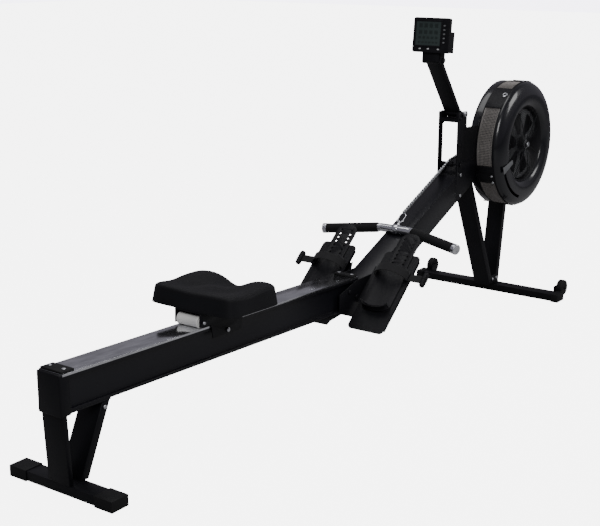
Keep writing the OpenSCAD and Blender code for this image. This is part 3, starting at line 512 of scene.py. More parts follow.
plates, clips = [], []
for a0, a1 in PLATES:
    plates.append(arc_bar(a0, a1, CAGE_R - 0.0008, CAGE_R + 0.0012, BAND_RIGHT + 0.001,
                          BAND_LEFT - 0.001))
for angle in PLATE_BOLTS:
    head = turned([(0.0052, 0), (0.0052, 0.002), (0.004, 0.0036), (0.002, 0.0042)],
                  axis="Z", sides=24)
    clips.append(settle(head, standing(angle, CAGE_R + 0.0010, BAND_RIGHT + 0.010)))
stand = standing(CLIP_AT, CAGE_R + 0.0022, BAND_RIGHT + 0.012)
clean_start()
bpy.ops.mesh.primitive_torus_add(major_radius=0.0075, minor_radius=0.0016, major_segments=40,
                                 minor_segments=12)
clips.append(settle(settle(bpy.context.object), stand))
tail = bevelled(block((-0.014, -0.004, -0.0012), (-0.005, 0.004, 0.0012)), 0.0006)
clips.append(settle(tail, stand))
smooth(named(joined(plates), "clamp_plates", "black_plastic", "frame"))
smooth(named(joined(clips), "clamp_bolts", "zinc", "frame"), 50)

# %% [markdown]
# The right cover is a deep moulded ring: it rounds over from the band, crests, and rolls
# back into the inlet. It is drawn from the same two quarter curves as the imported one,
# with finer steps and a slot cut for the damper lever.

# %% The right cover
INLET_R, LIP_R, COVER_D, WALL = 0.138, 0.173, 0.030, 0.003
FACE = BAND_RIGHT - COVER_D
THROAT = FACE + 0.020                                # where the lip ends, inside the inlet


def quarter(cx, cy, a, b, start, steps=14):
    """A quarter of an ellipse about (cx, cy), from the start angle on."""
    return [(cx + a * cos(radians(start + 90 * i / steps)),
             cy - b * sin(radians(start + 90 * i / steps))) for i in range(steps + 1)]


outer = quarter(LIP_R, BAND_RIGHT, CAGE_R - LIP_R, COVER_D, 0) + \
    quarter(LIP_R, THROAT, LIP_R - INLET_R, THROAT - FACE, 90)[1:]
inner = quarter(LIP_R, BAND_RIGHT, CAGE_R - LIP_R - WALL, COVER_D - WALL, 0) + \
    quarter(LIP_R, THROAT, LIP_R - INLET_R - WALL, THROAT - FACE - WALL, 90)[1:]
profile = outer + inner[::-1] + outer[:1]
cover = turned(profile, FAN, "Y", 192, hollow=True)

LEVER_AT, LEVER_TRAVEL, SPARE = -160, 50, 4          # degrees about the axle
SLOT_R, SLOT_HALF = 0.198, 0.005
slot_cutter = arc_bar(LEVER_AT - SPARE, LEVER_AT + LEVER_TRAVEL + SPARE, SLOT_R - SLOT_HALF,
                      SLOT_R + SLOT_HALF, FACE - 0.010, FACE + 0.024)
modifier(cover, "BOOLEAN", object=slot_cutter, solver="EXACT")
bpy.data.objects.remove(slot_cutter)
named(smooth(cover, 30), "inlet_cover", "cover_plastic", "frame", ("cover_right",))

# %% [markdown]
# Three turned rings trim the cage: one over each seam between the band and its covers,
# and a rolled lip round the throat of the inlet.

# %% Cover trim
trim = [turned([(CAGE_R - 0.003, BAND_RIGHT - 0.002), (CAGE_R + 0.001, BAND_RIGHT - 0.002),
                (CAGE_R + 0.0015, BAND_RIGHT - 0.0005), (CAGE_R + 0.0015, BAND_RIGHT + 0.004),
                (CAGE_R - 0.001, BAND_RIGHT + 0.004), (CAGE_R - 0.003, BAND_RIGHT - 0.002)],
               FAN, "Y", 192, True),
        turned([(CAGE_R - 0.003, BAND_LEFT), (CAGE_R + 0.0012, BAND_LEFT - 0.003),
                (CAGE_R + 0.0012, BAND_LEFT + 0.002), (CAGE_R - 0.002, BAND_LEFT + 0.003),
                (CAGE_R - 0.003, BAND_LEFT)], FAN, "Y", 192, True),
        turned([(INLET_R - 0.004, THROAT + 0.001), (INLET_R + 0.002, THROAT - 0.006),
                (INLET_R + 0.0045, THROAT - 0.0055), (INLET_R + 0.001, THROAT + 0.003),
                (INLET_R - 0.004, THROAT + 0.001)], FAN, "Y", 160, True)]
smooth(named(joined(trim), "cover_trim", "black_plastic", "frame"))

# %% [markdown]
# The inlet grille is a shallow dish of thin rings on spokes. Each ring is turned with a
# small diamond section, stepping outwards towards the hub. The spokes hold them, and one
# flat bar crosses the whole inlet.

# %% The inlet grille
HUB_R = 0.015
HUB_OUT = BAND_RIGHT - 0.024
RINGS, SPOKES = 19, 8
BAR_TURN = radians(-52)


def dish(r):
    """Depth of the dish at a radius: it swells outwards towards the hub."""
    t = (r - HUB_R) / (INLET_R - HUB_R)
    return THROAT + 0.002 - 0.012 * (1 - t * t)


grille = []
for i in range(RINGS + 1):
    r = HUB_R + 0.006 + (INLET_R - HUB_R - 0.008) * i / RINGS
    y = dish(r)
    grille.append(turned([(r - 0.0010, y), (r, y - 0.0010), (r + 0.0010, y), (r, y + 0.0016),
                          (r - 0.0010, y)], FAN, "Y", 112, True))
for i in range(SPOKES):
    turn = 360 / SPOKES * (i + 0.5)
    spoke = block((HUB_R - 0.002, -0.0008, 0), (INLET_R - 0.001, 0.0008, 0.0022))
    only(spoke)
    bpy.ops.object.mode_set(mode="EDIT")
    bpy.ops.mesh.select_all(action="SELECT")
    bpy.ops.mesh.subdivide(number_cuts=6)
    bpy.ops.object.mode_set(mode="OBJECT")
    for v in spoke.data.vertices:
        r, side, deep = v.co.copy()
        p = fan_point(turn, r, dish(r) - 0.0006 + deep)
        across = Vector((-sin(radians(turn)), 0, cos(radians(turn)))) * side
        v.co = p + across
    grille.append(tidy(spoke))
hub = turned([(0.006, HUB_OUT - 0.0005), (HUB_R - 0.006, HUB_OUT - 0.0005),
              (HUB_R - 0.001, HUB_OUT + 0.003), (HUB_R, HUB_OUT + 0.006), (HUB_R, THROAT + 0.012),
              (HUB_R - 0.003, THROAT + 0.013), (0.006, THROAT + 0.013), (0.006, HUB_OUT - 0.0005)],
             FAN, "Y", 64, True)
rim = turned([(INLET_R - 0.004, THROAT + 0.001), (INLET_R - 0.0005, THROAT - 0.001),
              (INLET_R - 0.0005, THROAT + 0.004), (INLET_R - 0.004, THROAT + 0.004),
              (INLET_R - 0.004, THROAT + 0.001)], FAN, "Y", 160, True)
cross_bar = block((-INLET_R + 0.002, HUB_OUT + 0.001, -0.0022),
                  (INLET_R - 0.002, HUB_OUT + 0.004, 0.0022))
settle(cross_bar, Matrix.Translation(FAN) @ Matrix.Rotation(BAR_TURN, 4, "Y"))
named(smooth(joined(grille + [hub, rim, bevelled(cross_bar, 0.0008)])), "inlet_rings",
      "black_plastic", "frame", ("inlet_grille",))

# %% [markdown]
# The left drum is closed. Its flat face is stiffened by three raised rings with short
# radial ribs between them, and a boss stands where the axle comes through.

# %% The left drum
DRUM_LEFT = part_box("cover_left")[1].y
DRUM_IN = DRUM_LEFT - 0.001                          # rings and ribs start inside the wall
RIB_RISE, RIB_HALF, RIBS = 0.0016, 0.0025, 12
drum_ribs = [turned([(0.0135, DRUM_IN), (0.026, DRUM_IN), (0.026, DRUM_LEFT),
                     (0.0135, DRUM_LEFT), (0.0135, DRUM_IN)], FAN, "Y", 64, True)]
for r in (0.098, 0.152, 0.206):
    drum_ribs.append(turned([(r - 0.004, DRUM_IN), (r - RIB_HALF, DRUM_LEFT + RIB_RISE),
                             (r + RIB_HALF, DRUM_LEFT + RIB_RISE), (r + 0.004, DRUM_IN),
                             (r - 0.004, DRUM_IN)], FAN, "Y", 128, True))
for i in range(RIBS):
    turn = Matrix.Translation(FAN) @ Matrix.Rotation(radians(360 * (i + 0.5) / RIBS), 4, "Y")
    for r0, r1 in ((0.101, 0.149), (0.155, 0.203)):
        rib = block((r0, DRUM_IN, -RIB_HALF), (r1, DRUM_LEFT + RIB_RISE * 0.8, RIB_HALF))
        drum_ribs.append(settle(bevelled(rib, 0.0006, 1), turn))
smooth(named(joined(drum_ribs), "drum_boss", "black_plastic", "frame"))

# %% [markdown]
# The handle's grips are foam sleeves with softly rounded ends over a polished tube, and
# each end wears a ribbed metal ferrule.

# %% Grips and ferrules
HANDLE_AT = (0.024, 0.0143)
BEND = radians(15)
CENTRE_HALF = 0.056
ARM = (0.262 - CENTRE_HALF) / cos(BEND)              # each bent side, along the tube
TUBE_R, GRIP_R = 0.0141, 0.017
on_handle = on_beam @ Matrix.Translation((HANDLE_AT[0], 0, HANDLE_AT[1]))


def along_handle(side):
    """Z runs outwards along one bent side of the handle."""
    return on_handle @ Matrix.Translation((0, side * CENTRE_HALF, 0)) @ \
        Matrix.Rotation(radians(-side * 90), 4, "X") @ Matrix.Rotation(-BEND, 4, "Y")


grips, ferrules = [], []
for side in (-1, 1):
    r, a, b = GRIP_R, 0.012, ARM - 0.0141
    grip = turned([(TUBE_R, a), (r - 0.0015, a), (r - 0.0003, a + 0.0012), (r, a + 0.003),
                   (r, b - 0.003), (r - 0.0003, b - 0.0012), (r - 0.0015, b), (TUBE_R, b),
                   (TUBE_R, a)], axis="Z", sides=64, hollow=True)
    grips.append(settle(grip, along_handle(side)))
    a, b = ARM - 0.0138, ARM + 0.0002
    ribs = [(0.0172, a)]
    for i in range(5):
        z = a + 0.0008 + i * 0.0024
        ribs += [(0.0174, z), (0.0174, z + 0.0012), (0.0166, z + 0.0015), (0.0166, z + 0.0021)]
    ribs += [(0.0172, b - 0.0005), (0.0162, b + 0.0004), (0.006, b + 0.0006), (0.005, b)]
    ferrules.append(settle(turned(ribs, axis="Z", sides=64), along_handle(side)))
smooth(named(joined(grips), "foam_grips", "grip_foam", "handle", ("handle_grips",)))
smooth(named(joined(ferrules), "handle_ferrules", "bright_steel", "handle"))

# %% [markdown]
# Between the handle and the chain sits an oval ring of bent wire, hooked through an eye
# on the handle. It is a torus, stretched by moving its two halves apart. The eye's
# shank stands on a saddle round the middle of the tube.

# %% Oval ring and eye
RISE, CHAIN_H = 0.040, 0.009                         # the chain's middle over the beam
RING_OUT, RING_HALF, RING_R, WIRE = 0.050, 0.0085, 0.0125, 0.0036
RING_TILT = asin((RISE - CHAIN_H / 2 - 0.0045 - HANDLE_AT[1]) / (RING_OUT + 0.0065))
in_ring = on_handle @ Matrix.Rotation(-RING_TILT, 4, "Y")
clean_start()
bpy.ops.mesh.primitive_torus_add(major_radius=RING_R - WIRE / 2, minor_radius=WIRE / 2,
                                 major_segments=64, minor_segments=16)
ring = settle(bpy.context.object)
for v in ring.data.vertices:
    v.co.x += RING_HALF if v.co.x > 0 else -RING_HALF
    v.co.x += RING_OUT
settle(ring, in_ring)
eye_end = RING_OUT - RING_HALF - RING_R + 0.002
shank = turned([(0.0052, 0.0135), (0.0052, 0.020), (0.004, 0.022), (0.004, eye_end - 0.004),
                (0.0048, eye_end - 0.002), (0.0048, eye_end + 0.002), (0.003, eye_end + 0.004)],
               axis="X", sides=32)
settle(shank, in_ring)
saddle = turned([(0.0142, -0.009), (0.0168, -0.009), (0.0172, -0.008), (0.0172, 0.008),
                 (0.0168, 0.009), (0.0142, 0.009), (0.0142, -0.009)],
                axis="Y", sides=64, hollow=True)
settle(saddle, on_handle)
smooth(named(joined([ring, shank]), "oval_ring", "bright_steel", "handle", ("chain_ring",)))
smooth(named(saddle, "handle_saddle", "bright_steel", "handle"))

# %% [markdown]
# The chain is modelled link by link. One pair of plates and its roller are built once,
# then copied in turn with a narrower pair, as the inner and outer links of a real chain.
# Each run between two points is stretched a little, to hold a whole number of links.

# %% Chain links
PITCH, LINK_R, PLATE_HALF = 0.0127, 0.0042, 0.0004
TEETH = 14
CHAIN_R = PITCH / (2 * sin(pi / TEETH)) + 0.0039
GUIDE_X, CORD_X = 1.883, 1.800                       # guide roller and the cord's end


def link_plates(outer_pair):
    """Two plates with round ends, and the roller at one end."""
    y = 0.0034 if outer_pair else 0.0024
    plates = []
    for side in (-1, 1):
        disc = [(LINK_R, side * y - PLATE_HALF), (LINK_R, side * y + PLATE_HALF)]
        web = block((0, side * y - 0.00038, -0.0029), (PITCH, side * y + 0.00038, 0.0029))
        plates += [turned(disc, (0, 0, 0), "Y", 12), turned(disc, (PITCH, 0, 0), "Y", 12), web]
    pin = turned([(0.0039, -0.0018), (0.0039, 0.0018)], (0, 0, 0), "Y", 12)
    return joined(plates + [pin])


def chain_between(a, b):
    """Links laid from point a to point b."""
    way = b - a
    count = max(2, round(way.length / PITCH))
    stretch = way.length / count / PITCH
    angle = Vector((1, 0, 0)).angle(way) * (-1 if way.z > 0 else 1)
    laid = []
    for i in range(count):
        place = Matrix.Translation(a + way * (i / count)) @ Matrix.Rotation(angle, 4, "Y") @ \
            Matrix.Diagonal((stretch, 1, 1, 1))
        laid.append(copy_of(LINKS[i % 2], place))
    return joined(laid)


LINKS = [link_plates(True), link_plates(False)]

# %% [markdown]
# The taut run spans from the handle to the guide roller, so its points follow the handle
# at one end and the frame at the other. A taut chain stays straight when the handle is
# pulled. The blend's own weights ease in and out, which would bow it, so each point's
# share is then set to run evenly from end to end.

# %% The taut run
ring_reach = (RING_OUT + RING_HALF) * cos(RING_TILT) + 0.011
first = on_beam @ Vector((HANDLE_AT[0] + ring_reach, 0, RISE))
run_end = Vector((GUIDE_X - MIDDLE, 0, beam_top(GUIDE_X) + RISE / cos(BEAM)))
taut = chain_between(first, run_end)
named(taut, "taut_chain", "zinc", None, ("chain_run",))
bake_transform(taut, "handle", "frame", start=tuple(first), end=tuple(run_end))
taut_run = run_end - first
share = taut.data.attributes["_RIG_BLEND"]
for i, v in enumerate(taut.data.vertices):
    share.data[i].value = min(1.0, max(0.0, (v.co - first).dot(taut_run) / taut_run.length_squared))

# %% [markdown]
# Behind the guide roller the chain runs down to the fan's sprocket, half way round it,
# and back along the beam to the elastic cord.

# %% Round the sprocket
top = FAN + Vector((0, 0, CHAIN_R))
bottom = FAN - Vector((0, 0, CHAIN_R))
cord_end = Vector((CORD_X - MIDDLE, 0, beam_top(CORD_X) - 0.052))
wraps = [chain_between(run_end + Vector((0.003, 0, 0.0005)), top), chain_between(cord_end, bottom)]
for i in range(TEETH // 2):
    here, there = (FAN + Vector((sin(a), 0, cos(a))) * CHAIN_R
                   for a in (2 * pi * i / TEETH, 2 * pi * (i + 1) / TEETH))
    turn = Vector((1, 0, 0)).rotation_difference(there - here).to_matrix().to_4x4()
    wraps.append(copy_of(LINKS[i % 2], Matrix.Translation(here) @ turn))
named(joined(wraps), "sprocket_chain", "zinc", "frame", ("return_chain",))
for proto in LINKS:
    bpy.data.objects.remove(proto)

# %% [markdown]
# The monitor is a case with soft corners and a raised frame round its display. The
# display shows a plain grid of dark segments, like any idle liquid crystal panel.

# %% Monitor case and display
ARM_LEN, LEAN, TILT = 0.248, radians(37), radians(6)
HEAD = Vector((1.895 - MIDDLE, 0, 0.722))            # the arm's pivot
pivot = HEAD + Vector((-ARM_LEN * sin(LEAN), 0, ARM_LEN * cos(LEAN)))
on_monitor = Matrix.Translation(pivot) @ Matrix.Rotation(TILT, 4, "Y")
FRONT, CASE_Z = -0.0326, 0.023
SCREEN_Y, SCREEN_Z = (-0.036, 0.060), (CASE_Z + 0.024, CASE_Z + 0.104)
BEZEL = 0.0045
eased("monitor_case", 0.003, 3)
(lo_y, hi_y), (lo_z, hi_z) = SCREEN_Y, SCREEN_Z
bezel = []
for y0, z0, y1, z1 in ((lo_y - BEZEL, lo_z - BEZEL, hi_y + BEZEL, lo_z),
                       (lo_y - BEZEL, hi_z, hi_y + BEZEL, hi_z + BEZEL),
                       (lo_y - BEZEL, lo_z, lo_y, hi_z), (hi_y, lo_z, hi_y + BEZEL, hi_z)):
    bar = block((FRONT - 0.0012, y0, z0), (FRONT + 0.0006, y1, z1))
    bezel.append(bevelled(bar, 0.0005, 2))
bezel = settle(joined(bezel), on_monitor)
named(smooth(bezel), "display_bezel", "black_plastic", "monitor")
segments = []
for z, count, tall in ((0.066, 4, 0.014), (0.044, 4, 0.012), (0.026, 5, 0.008), (0.010, 6, 0.005)):
    w = (hi_y - lo_y - 0.016) / count
    for i in range(count):
        y = lo_y + 0.008 + i * w
        segments.append(block((FRONT + 0.0007, y + w * 0.18, lo_z + z - tall / 2),
                              (FRONT + 0.00105, y + w * 0.82, lo_z + z + tall / 2)))
segments = settle(joined(segments), on_monitor)
named(segments, "display_segments", "screen", "monitor", look="screen_ink")

# %% [markdown]
# A folded bracket with two cheeks holds the case on its arm. Two thin plates close the
# head below the arm, one behind and one in front, clear of the arm as it folds.

# %% Monitor bracket and head plates
BACK, CHEEK_IN, CHEEK_OUT = -0.0225, 0.0308, 0.0340
bracket = [bevelled(block((BACK, -CHEEK_OUT, -0.006), (-0.0190, CHEEK_OUT, CASE_Z + 0.004)),
                    0.0012, 2)]
for y0, y1 in ((-CHEEK_OUT, -CHEEK_IN), (CHEEK_IN, CHEEK_OUT)):
    cheek = block((BACK, y0, -0.010), (0.0060, y1, CASE_Z + 0.002))
    bracket.append(bevelled(cheek, 0.0012, 2))
bracket = settle(joined(bracket), on_monitor)
smooth(named(bracket, "monitor_bracket", "black_plastic", "monitor"))
rear_plate = bevelled(block((0.6515, -0.0345, 0.6950), (0.6545, 0.0345, 0.7080)), 0.0008, 2)
front_plate = bevelled(block((0.6950, -0.0295, 0.6970), (0.6980, 0.0295, 0.7090)), 0.0008, 2)
smooth(named(joined([rear_plate, front_plate]), "head_face", "frame_steel", "frame"))

# %% [markdown]
# Each heel cup ends in a raised wall with a rounded bead along its top and its foot. It is
# turned whole, squeezed to half an ellipse, and cut in two across the board.

# %% Heel walls
SQUEEZE = (0.46, 0.98, 1)
HEEL_AT = 0.096
for side, word in ((1, "left"), (-1, "right")):
    wall = turned([(0.0495, 0.0034), (0.0510, 0.0046), (0.0510, 0.0072), (0.0490, 0.0090),
                   (0.0475, 0.0230), (0.0495, 0.0250), (0.0500, 0.0275), (0.0485, 0.0300),
                   (0.0455, 0.0300), (0.0440, 0.0275), (0.0445, 0.0120), (0.0420, 0.0034),
                   (0.0495, 0.0034)], axis="Z", sides=96, hollow=True)
    wall.scale = SQUEEZE
    settle(wall)
    away = block((0.0, -0.1, -0.1), (0.1, 0.1, 0.1))
    modifier(wall, "BOOLEAN", object=away, solver="EXACT")
    bpy.data.objects.remove(away)
    settle(wall, on_board(side) @ Matrix.Translation((HEEL_AT, 0, 0)))
    named(smooth(wall, 40), "heel_wall_" + word, "black_plastic", node_body["heel_cup_" + word])

# %% [markdown]
# Each foot strap is flat webbing that arches over the foot and runs out to a moulded
# T-pull. A plane is extruded along the arch and given a thickness; the pull is a bar
# with rounded ends and a cam buckle sits where the strap leaves the board.

# %% Foot straps
STRAP_X, STRAP_W, STRAP_HALF, STRAP_RISE = 0.205, 0.028, 0.061, 0.046
WEB_HALF = 0.00125                                   # half the webbing, and a little air
PULL_IN, PULL_OUT = STRAP_HALF + 0.048, STRAP_HALF + 0.064
ARCH_STEPS, PULL_RIBS = 24, 5


def strap_path():
    """The webbing's middle line, across the board and over the foot."""
    path = [(STRAP_HALF + 0.052, 0.0022), (STRAP_HALF + 0.020, 0.0020),
            (STRAP_HALF + 0.004, 0.0022), (STRAP_HALF - 0.0012, 0.004)]
    for i in range(1, ARCH_STEPS):
        a = radians(180 * i / ARCH_STEPS)
        path.append(((STRAP_HALF - WEB_HALF) * cos(a), (STRAP_RISE - WEB_HALF) * sin(a) + 0.0008))
    return path + [(WEB_HALF - STRAP_HALF, 0.001)]


def strap_band(side):
    """One edge of a plane is kept, then extruded along the path."""
    path = strap_path()
    clean_start()
    bpy.ops.mesh.primitive_plane_add(size=1)
    band = settle(bpy.context.object)
    bpy.ops.object.mode_set(mode="EDIT")
    bpy.ops.mesh.select_all(action="SELECT")
    bpy.ops.mesh.delete(type="ONLY_FACE")
    bpy.ops.object.mode_set(mode="OBJECT")
    for v in band.data.vertices:
        v.select = v.co.y >= 0
    bpy.ops.object.mode_set(mode="EDIT")
    bpy.ops.mesh.delete(type="VERT")
    bpy.ops.object.mode_set(mode="OBJECT")
    y, z = path[0]
    for v, x in zip(band.data.vertices, (STRAP_X, STRAP_X + STRAP_W)):
        v.co = (x, side * y, z)
    bpy.ops.object.mode_set(mode="EDIT")
    bpy.ops.mesh.select_all(action="SELECT")
    for y2, z2 in path[1:]:
        step = (0, side * (y2 - y), z2 - z)
        bpy.ops.mesh.extrude_region_move(TRANSFORM_OT_translate={"value": step})
        y, z = y2, z2
    bpy.ops.object.mode_set(mode="OBJECT")
    tidy(band)
    modifier(band, "SOLIDIFY", thickness=0.0024, offset=0)
    return bevelled(band, 0.0005, 1)


def beside(side, x0, x1, inner, outer, z0, z1):
    """A block between two distances out from the board's middle, on one side of it."""
    y0, y1 = sorted((side * inner, side * outer))
    return block((x0, y0, z0), (x1, y1, z1))


for side, word in ((1, "left"), (-1, "right")):
    band = strap_band(side)
    pull = bevelled(beside(side, STRAP_X - 0.012, STRAP_X + STRAP_W + 0.012, PULL_IN, PULL_OUT,
                           -0.006, 0.012), 0.0055, 3)
    for i in range(PULL_RIBS):
        x = STRAP_X + 0.001 + i * 0.0065
        rib = beside(side, x, x + 0.002, PULL_IN + 0.0008, PULL_OUT + 0.0006, -0.0066, 0.0126)
        pull = joined([pull, bevelled(rib, 0.0008, 1)])
    buckle = bevelled(beside(side, STRAP_X - 0.004, STRAP_X + STRAP_W + 0.004, 0.050, 0.0635,
                             0.0032, 0.0105), 0.002, 2)
    for piece in (band, pull, buckle):
        settle(piece, on_board(side))
    named(smooth(band), "strap_webbing_" + word, "webbing", "frame", ("foot_strap_" + word,))
    named(smooth(pull), "strap_pull_" + word, "black_plastic", "frame")
    named(smooth(buckle), "strap_buckle_" + word, "black_plastic", "frame")

# %% [markdown]
# Finishes come next. Each reads object coordinates, so the grain is the same size on a
# bolt and on the beam. One builder lays down a base colour with a slow drift, a fine
# grain in the bump, and a roughness that varies a little, as handled surfaces do.

# %% A builder for finishes
def finish(name, dark, light, rough, metal=0.0, grain=900.0, bump=0.1, depth=0.0002, drift=9.0,
           stretch=(1, 1, 1), coat=0.0, sheen=0.0, specular=0.5, cells=False):
    """dark and light are the two base colours, rough the two ends of the roughness."""
    mat = bpy.data.materials.new(name)
    mat.use_nodes = True
    tree = mat.node_tree
    shader = tree.nodes["Principled BSDF"]
    shader.inputs["Metallic"].default_value = metal
    shader.inputs["Specular IOR Level"].default_value = specular
    shader.inputs["Coat Weight"].default_value = coat
    shader.inputs["Coat Roughness"].default_value = 0.08
    shader.inputs["Sheen Weight"].default_value = sheen
    place = tree.nodes.new("ShaderNodeTexCoord")
    mapping = tree.nodes.new("ShaderNodeMapping")
    mapping.inputs["Scale"].default_value = stretch
    tree.links.new(place.outputs["Object"], mapping.inputs["Vector"])
    slow = tree.nodes.new("ShaderNodeTexNoise")
    slow.inputs["Scale"].default_value = drift
    slow.inputs["Detail"].default_value = 6
    tree.links.new(mapping.outputs["Vector"], slow.inputs["Vector"])
    colours = tree.nodes.new("ShaderNodeValToRGB")
    colours.color_ramp.elements[0].position = 0.35
    colours.color_ramp.elements[1].position = 0.68
    colours.color_ramp.elements[0].color = (*dark, 1)
    colours.color_ramp.elements[1].color = (*light, 1)
    tree.links.new(slow.outputs["Fac"], colours.inputs["Fac"])
    tree.links.new(colours.outputs["Color"], shader.inputs["Base Color"])
    spread = tree.nodes.new("ShaderNodeMapRange")
    spread.inputs["To Min"].default_value = rough[0]
    spread.inputs["To Max"].default_value = rough[1]
    tree.links.new(slow.outputs["Fac"], spread.inputs["Value"])
    tree.links.new(spread.outputs["Result"], shader.inputs["Roughness"])
    if cells:
        fine = tree.nodes.new("ShaderNodeTexVoronoi")
        out = fine.outputs["Distance"]
    else:
        fine = tree.nodes.new("ShaderNodeTexNoise")
        fine.inputs["Detail"].default_value = 4
        out = fine.outputs["Fac"]
    fine.inputs["Scale"].default_value = grain
    tree.links.new(mapping.outputs["Vector"], fine.inputs["Vector"])
    relief = tree.nodes.new("ShaderNodeBump")
    relief.inputs["Strength"].default_value = bump
    relief.inputs["Distance"].default_value = depth
    tree.links.new(out, relief.inputs["Height"])
    tree.links.new(relief.outputs["Normal"], shader.inputs["Normal"])
    return mat


finishes = {
    "frame_steel": finish("powder_coat", (0.0037, 0.0037, 0.0050), (0.0054, 0.0054, 0.0072),
                          (0.34, 0.50), grain=700, bump=0.35, depth=0.0003, specular=0.20),
    "rail_alloy": finish("black_anodise", (0.0045, 0.0045, 0.0063), (0.0065, 0.0065, 0.0093),
                         (0.30, 0.42), grain=500, bump=0.12, stretch=(0.15, 1, 1),
                         specular=0.30),
    "track_steel": finish("brushed_track", (0.6048, 0.6124, 0.6350), (0.8467, 0.8542, 0.8770),
                          (0.10, 0.22), metal=1.0, grain=420, bump=0.10, depth=0.0001, drift=46,
                          stretch=(0.35, 1, 1)),
    "bright_steel": finish("polished_steel", (0.6600, 0.6720, 0.6960), (0.8400, 0.8520, 0.8760),
                           (0.12, 0.24), metal=1.0, grain=1200, bump=0.04),
    "zinc": finish("zinc_plate", (0.4860, 0.4995, 0.5130), (0.7020, 0.7155, 0.7290),
                   (0.25, 0.42), metal=1.0, grain=900, bump=0.08),
    "black_plastic": finish("moulded_grain", (0.0042, 0.0041, 0.0055), (0.0066, 0.0065, 0.0084),
                            (0.42, 0.58), grain=1500, bump=0.4, depth=0.00025, specular=0.23,
                            cells=True),
    "cover_plastic": finish("gloss_moulding", (0.0026, 0.0030, 0.0048), (0.0039, 0.0045, 0.0069),
                            (0.22, 0.32), grain=260, bump=0.03, specular=0.35, coat=0.55),
    "band_metal": finish("grey_sheet", (0.1995, 0.1862, 0.1748), (0.2850, 0.2698, 0.2565),
                         (0.45, 0.60), metal=0.3, grain=800, bump=0.1),
    "roller_plastic": finish("white_nylon", (0.6600, 0.6600, 0.6270), (0.8140, 0.8140, 0.7810),
                             (0.28, 0.40), grain=600, bump=0.06),
    "seat_foam": finish("moulded_foam", (0.0037, 0.0037, 0.0050), (0.0057, 0.0057, 0.0073),
                        (0.55, 0.72), grain=1300, bump=0.5, depth=0.0003, cells=True,
                        sheen=0.015, specular=0.19),
    "grip_foam": finish("grip_foam", (0.0051, 0.0051, 0.0056), (0.0084, 0.0084, 0.0093),
                        (0.70, 0.85), grain=1800, bump=0.7, depth=0.0003, cells=True, sheen=0.04,
                        specular=0.22),
    "rubber": finish("black_rubber", (0.0062, 0.0062, 0.0068), (0.0099, 0.0099, 0.0105), (0.55, 0.70),
                     grain=1100, bump=0.3, specular=0.22),
    "webbing": finish("woven_webbing", (0.0062, 0.0062, 0.0068), (0.0112, 0.0112, 0.0124), (0.70, 0.85),
                      grain=700, bump=0.8, depth=0.0005, stretch=(1, 0.3, 0.3), sheen=0.08,
                      specular=0.30),
    "screen": finish("crystal_display", (0.0278, 0.0405, 0.0379), (0.0379, 0.0531, 0.0506), (0.16, 0.24),
                     grain=300, bump=0.01, specular=0.45),
    "screen_ink": finish("display_ink", (0.0154, 0.0220, 0.0209), (0.0198, 0.0286, 0.0264), (0.30, 0.36),
                         grain=300, bump=0.01, specular=0.35),
    "button_plastic": finish("grey_keys", (0.1200, 0.1248, 0.1280), (0.1600, 0.1664, 0.1696),
                             (0.40, 0.55), grain=1200, bump=0.15),
    "key_plastic": finish("light_keys", (0.4500, 0.4575, 0.4575), (0.5700, 0.5775, 0.5775),
                          (0.38, 0.50), grain=1200, bump=0.12),
    "cord": finish("braided_cord", (0.010, 0.022, 0.09), (0.03, 0.06, 0.22), (0.6, 0.8),
                   grain=900, bump=0.6, stretch=(1, 1, 3)),
    "rotor_iron": finish("rotor_iron", (0.030, 0.031, 0.034), (0.045, 0.046, 0.050),
                         (0.40, 0.55), metal=0.6, grain=500, bump=0.2),
    "deep_matte": finish("deep_matte", (0.0022, 0.0022, 0.0030), (0.0034, 0.0034, 0.0045),
                         (0.80, 0.92), grain=700, bump=0.2, specular=0.05),
}
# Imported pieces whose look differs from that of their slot.
LOOKS = {"flywheel": "rotor_iron", "head_block": "deep_matte", "fan_blades": "deep_matte"}


def dress(obj, look):
    obj.data.materials.clear()
    obj.data.materials.append(finishes[look])


for node, obj in nodes.items():
    dress(obj, LOOKS.get(node, node_slot[node]))
for obj, look in new_pieces:
    dress(obj, look)
print(len(new_pieces), "new pieces dressed")

# %% [markdown]
# A pale floor, a white surround and three large soft lamps give even studio light with
# long reflections on the dark tubes. Floor and surround are far brighter to the camera
# than to the machine, so the ground reads as white while the black finishes stay black.

# %% Floor and surround
WHITE_SEEN, SKY_LIGHT, FLOOR_LIGHT = 6.0, 0.22, 0.0
clean_start()
bpy.ops.mesh.primitive_plane_add(size=40, location=(0, 0, -0.0005))
floor = bpy.context.object
floor.name = "studio_floor"
floor_look = finish("pale_floor", (0.34, 0.34, 0.34), (0.37, 0.37, 0.37), (0.7, 0.9),
                    grain=60, bump=0.01, specular=0.1)
floor.data.materials.append(floor_look)


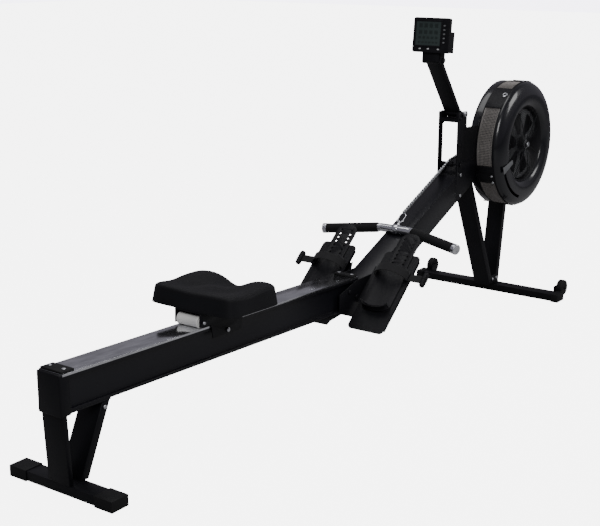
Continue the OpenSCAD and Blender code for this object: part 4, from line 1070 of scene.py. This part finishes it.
def seen_directly(tree, plain, direct):
    """One strength for light on the machine, another for what the camera sees."""
    path = tree.nodes.new("ShaderNodeLightPath")
    pick = tree.nodes.new("ShaderNodeMapRange")
    pick.inputs["To Min"].default_value = plain
    pick.inputs["To Max"].default_value = direct
    tree.links.new(path.outputs["Is Camera Ray"], pick.inputs["Value"])
    return pick.outputs["Result"]


floor_shader = floor_look.node_tree.nodes["Principled BSDF"]
floor_shader.inputs["Emission Color"].default_value = (1, 1, 1, 1)
floor_look.node_tree.links.new(seen_directly(floor_look.node_tree, FLOOR_LIGHT, WHITE_SEEN),
                               floor_shader.inputs["Emission Strength"])
world = bpy.data.worlds.new("studio")
bpy.context.scene.world = world
world.use_nodes = True
sky = world.node_tree.nodes["Background"]
sky.inputs["Color"].default_value = (0.91, 0.88, 1.0, 1)
world.node_tree.links.new(seen_directly(world.node_tree, SKY_LIGHT, WHITE_SEEN),
                          sky.inputs["Strength"])

# %% [markdown]
# The key lamp shines from behind the seat, the top lamp opens the upper faces, and the
# rim lamp draws the edge of the fan. The camera stands behind the seat, to its right.

# %% Lamps and camera
def lamp(name, place, aim, size, power):
    """A square soft lamp at a place, turned towards its aim."""
    clean_start()
    way = Vector(aim) - Vector(place)
    bpy.ops.object.light_add(type="AREA", location=place,
                             rotation=way.to_track_quat("-Z", "Y").to_euler())
    light = bpy.context.object
    light.name = name
    light.data.shape = "SQUARE"
    light.data.size = size
    light.data.energy = power


lamp("key_light", (-2.8, -2.6, 3.4), (0, 0, 0.4), 2.0, 95)
lamp("top_light", (0.2, 0.6, 4.0), (0, 0, 0.3), 2.6, 55)
lamp("rim_light", (2.4, -2.6, 2.4), (0.8, 0, 0.4), 1.4, 34)
clean_start()
YAW, DOWN = 0.6300, 0.2605
gaze = Vector((cos(DOWN) * cos(YAW), cos(DOWN) * sin(YAW), -sin(DOWN)))
bpy.ops.object.camera_add(location=(-1.8386 - MIDDLE, -2.0486, 1.2970),
                          rotation=gaze.to_track_quat("-Z", "Y").to_euler())
camera = bpy.context.object
camera.data.sensor_width = 36
camera.data.lens = 71.48
bpy.context.scene.camera = camera
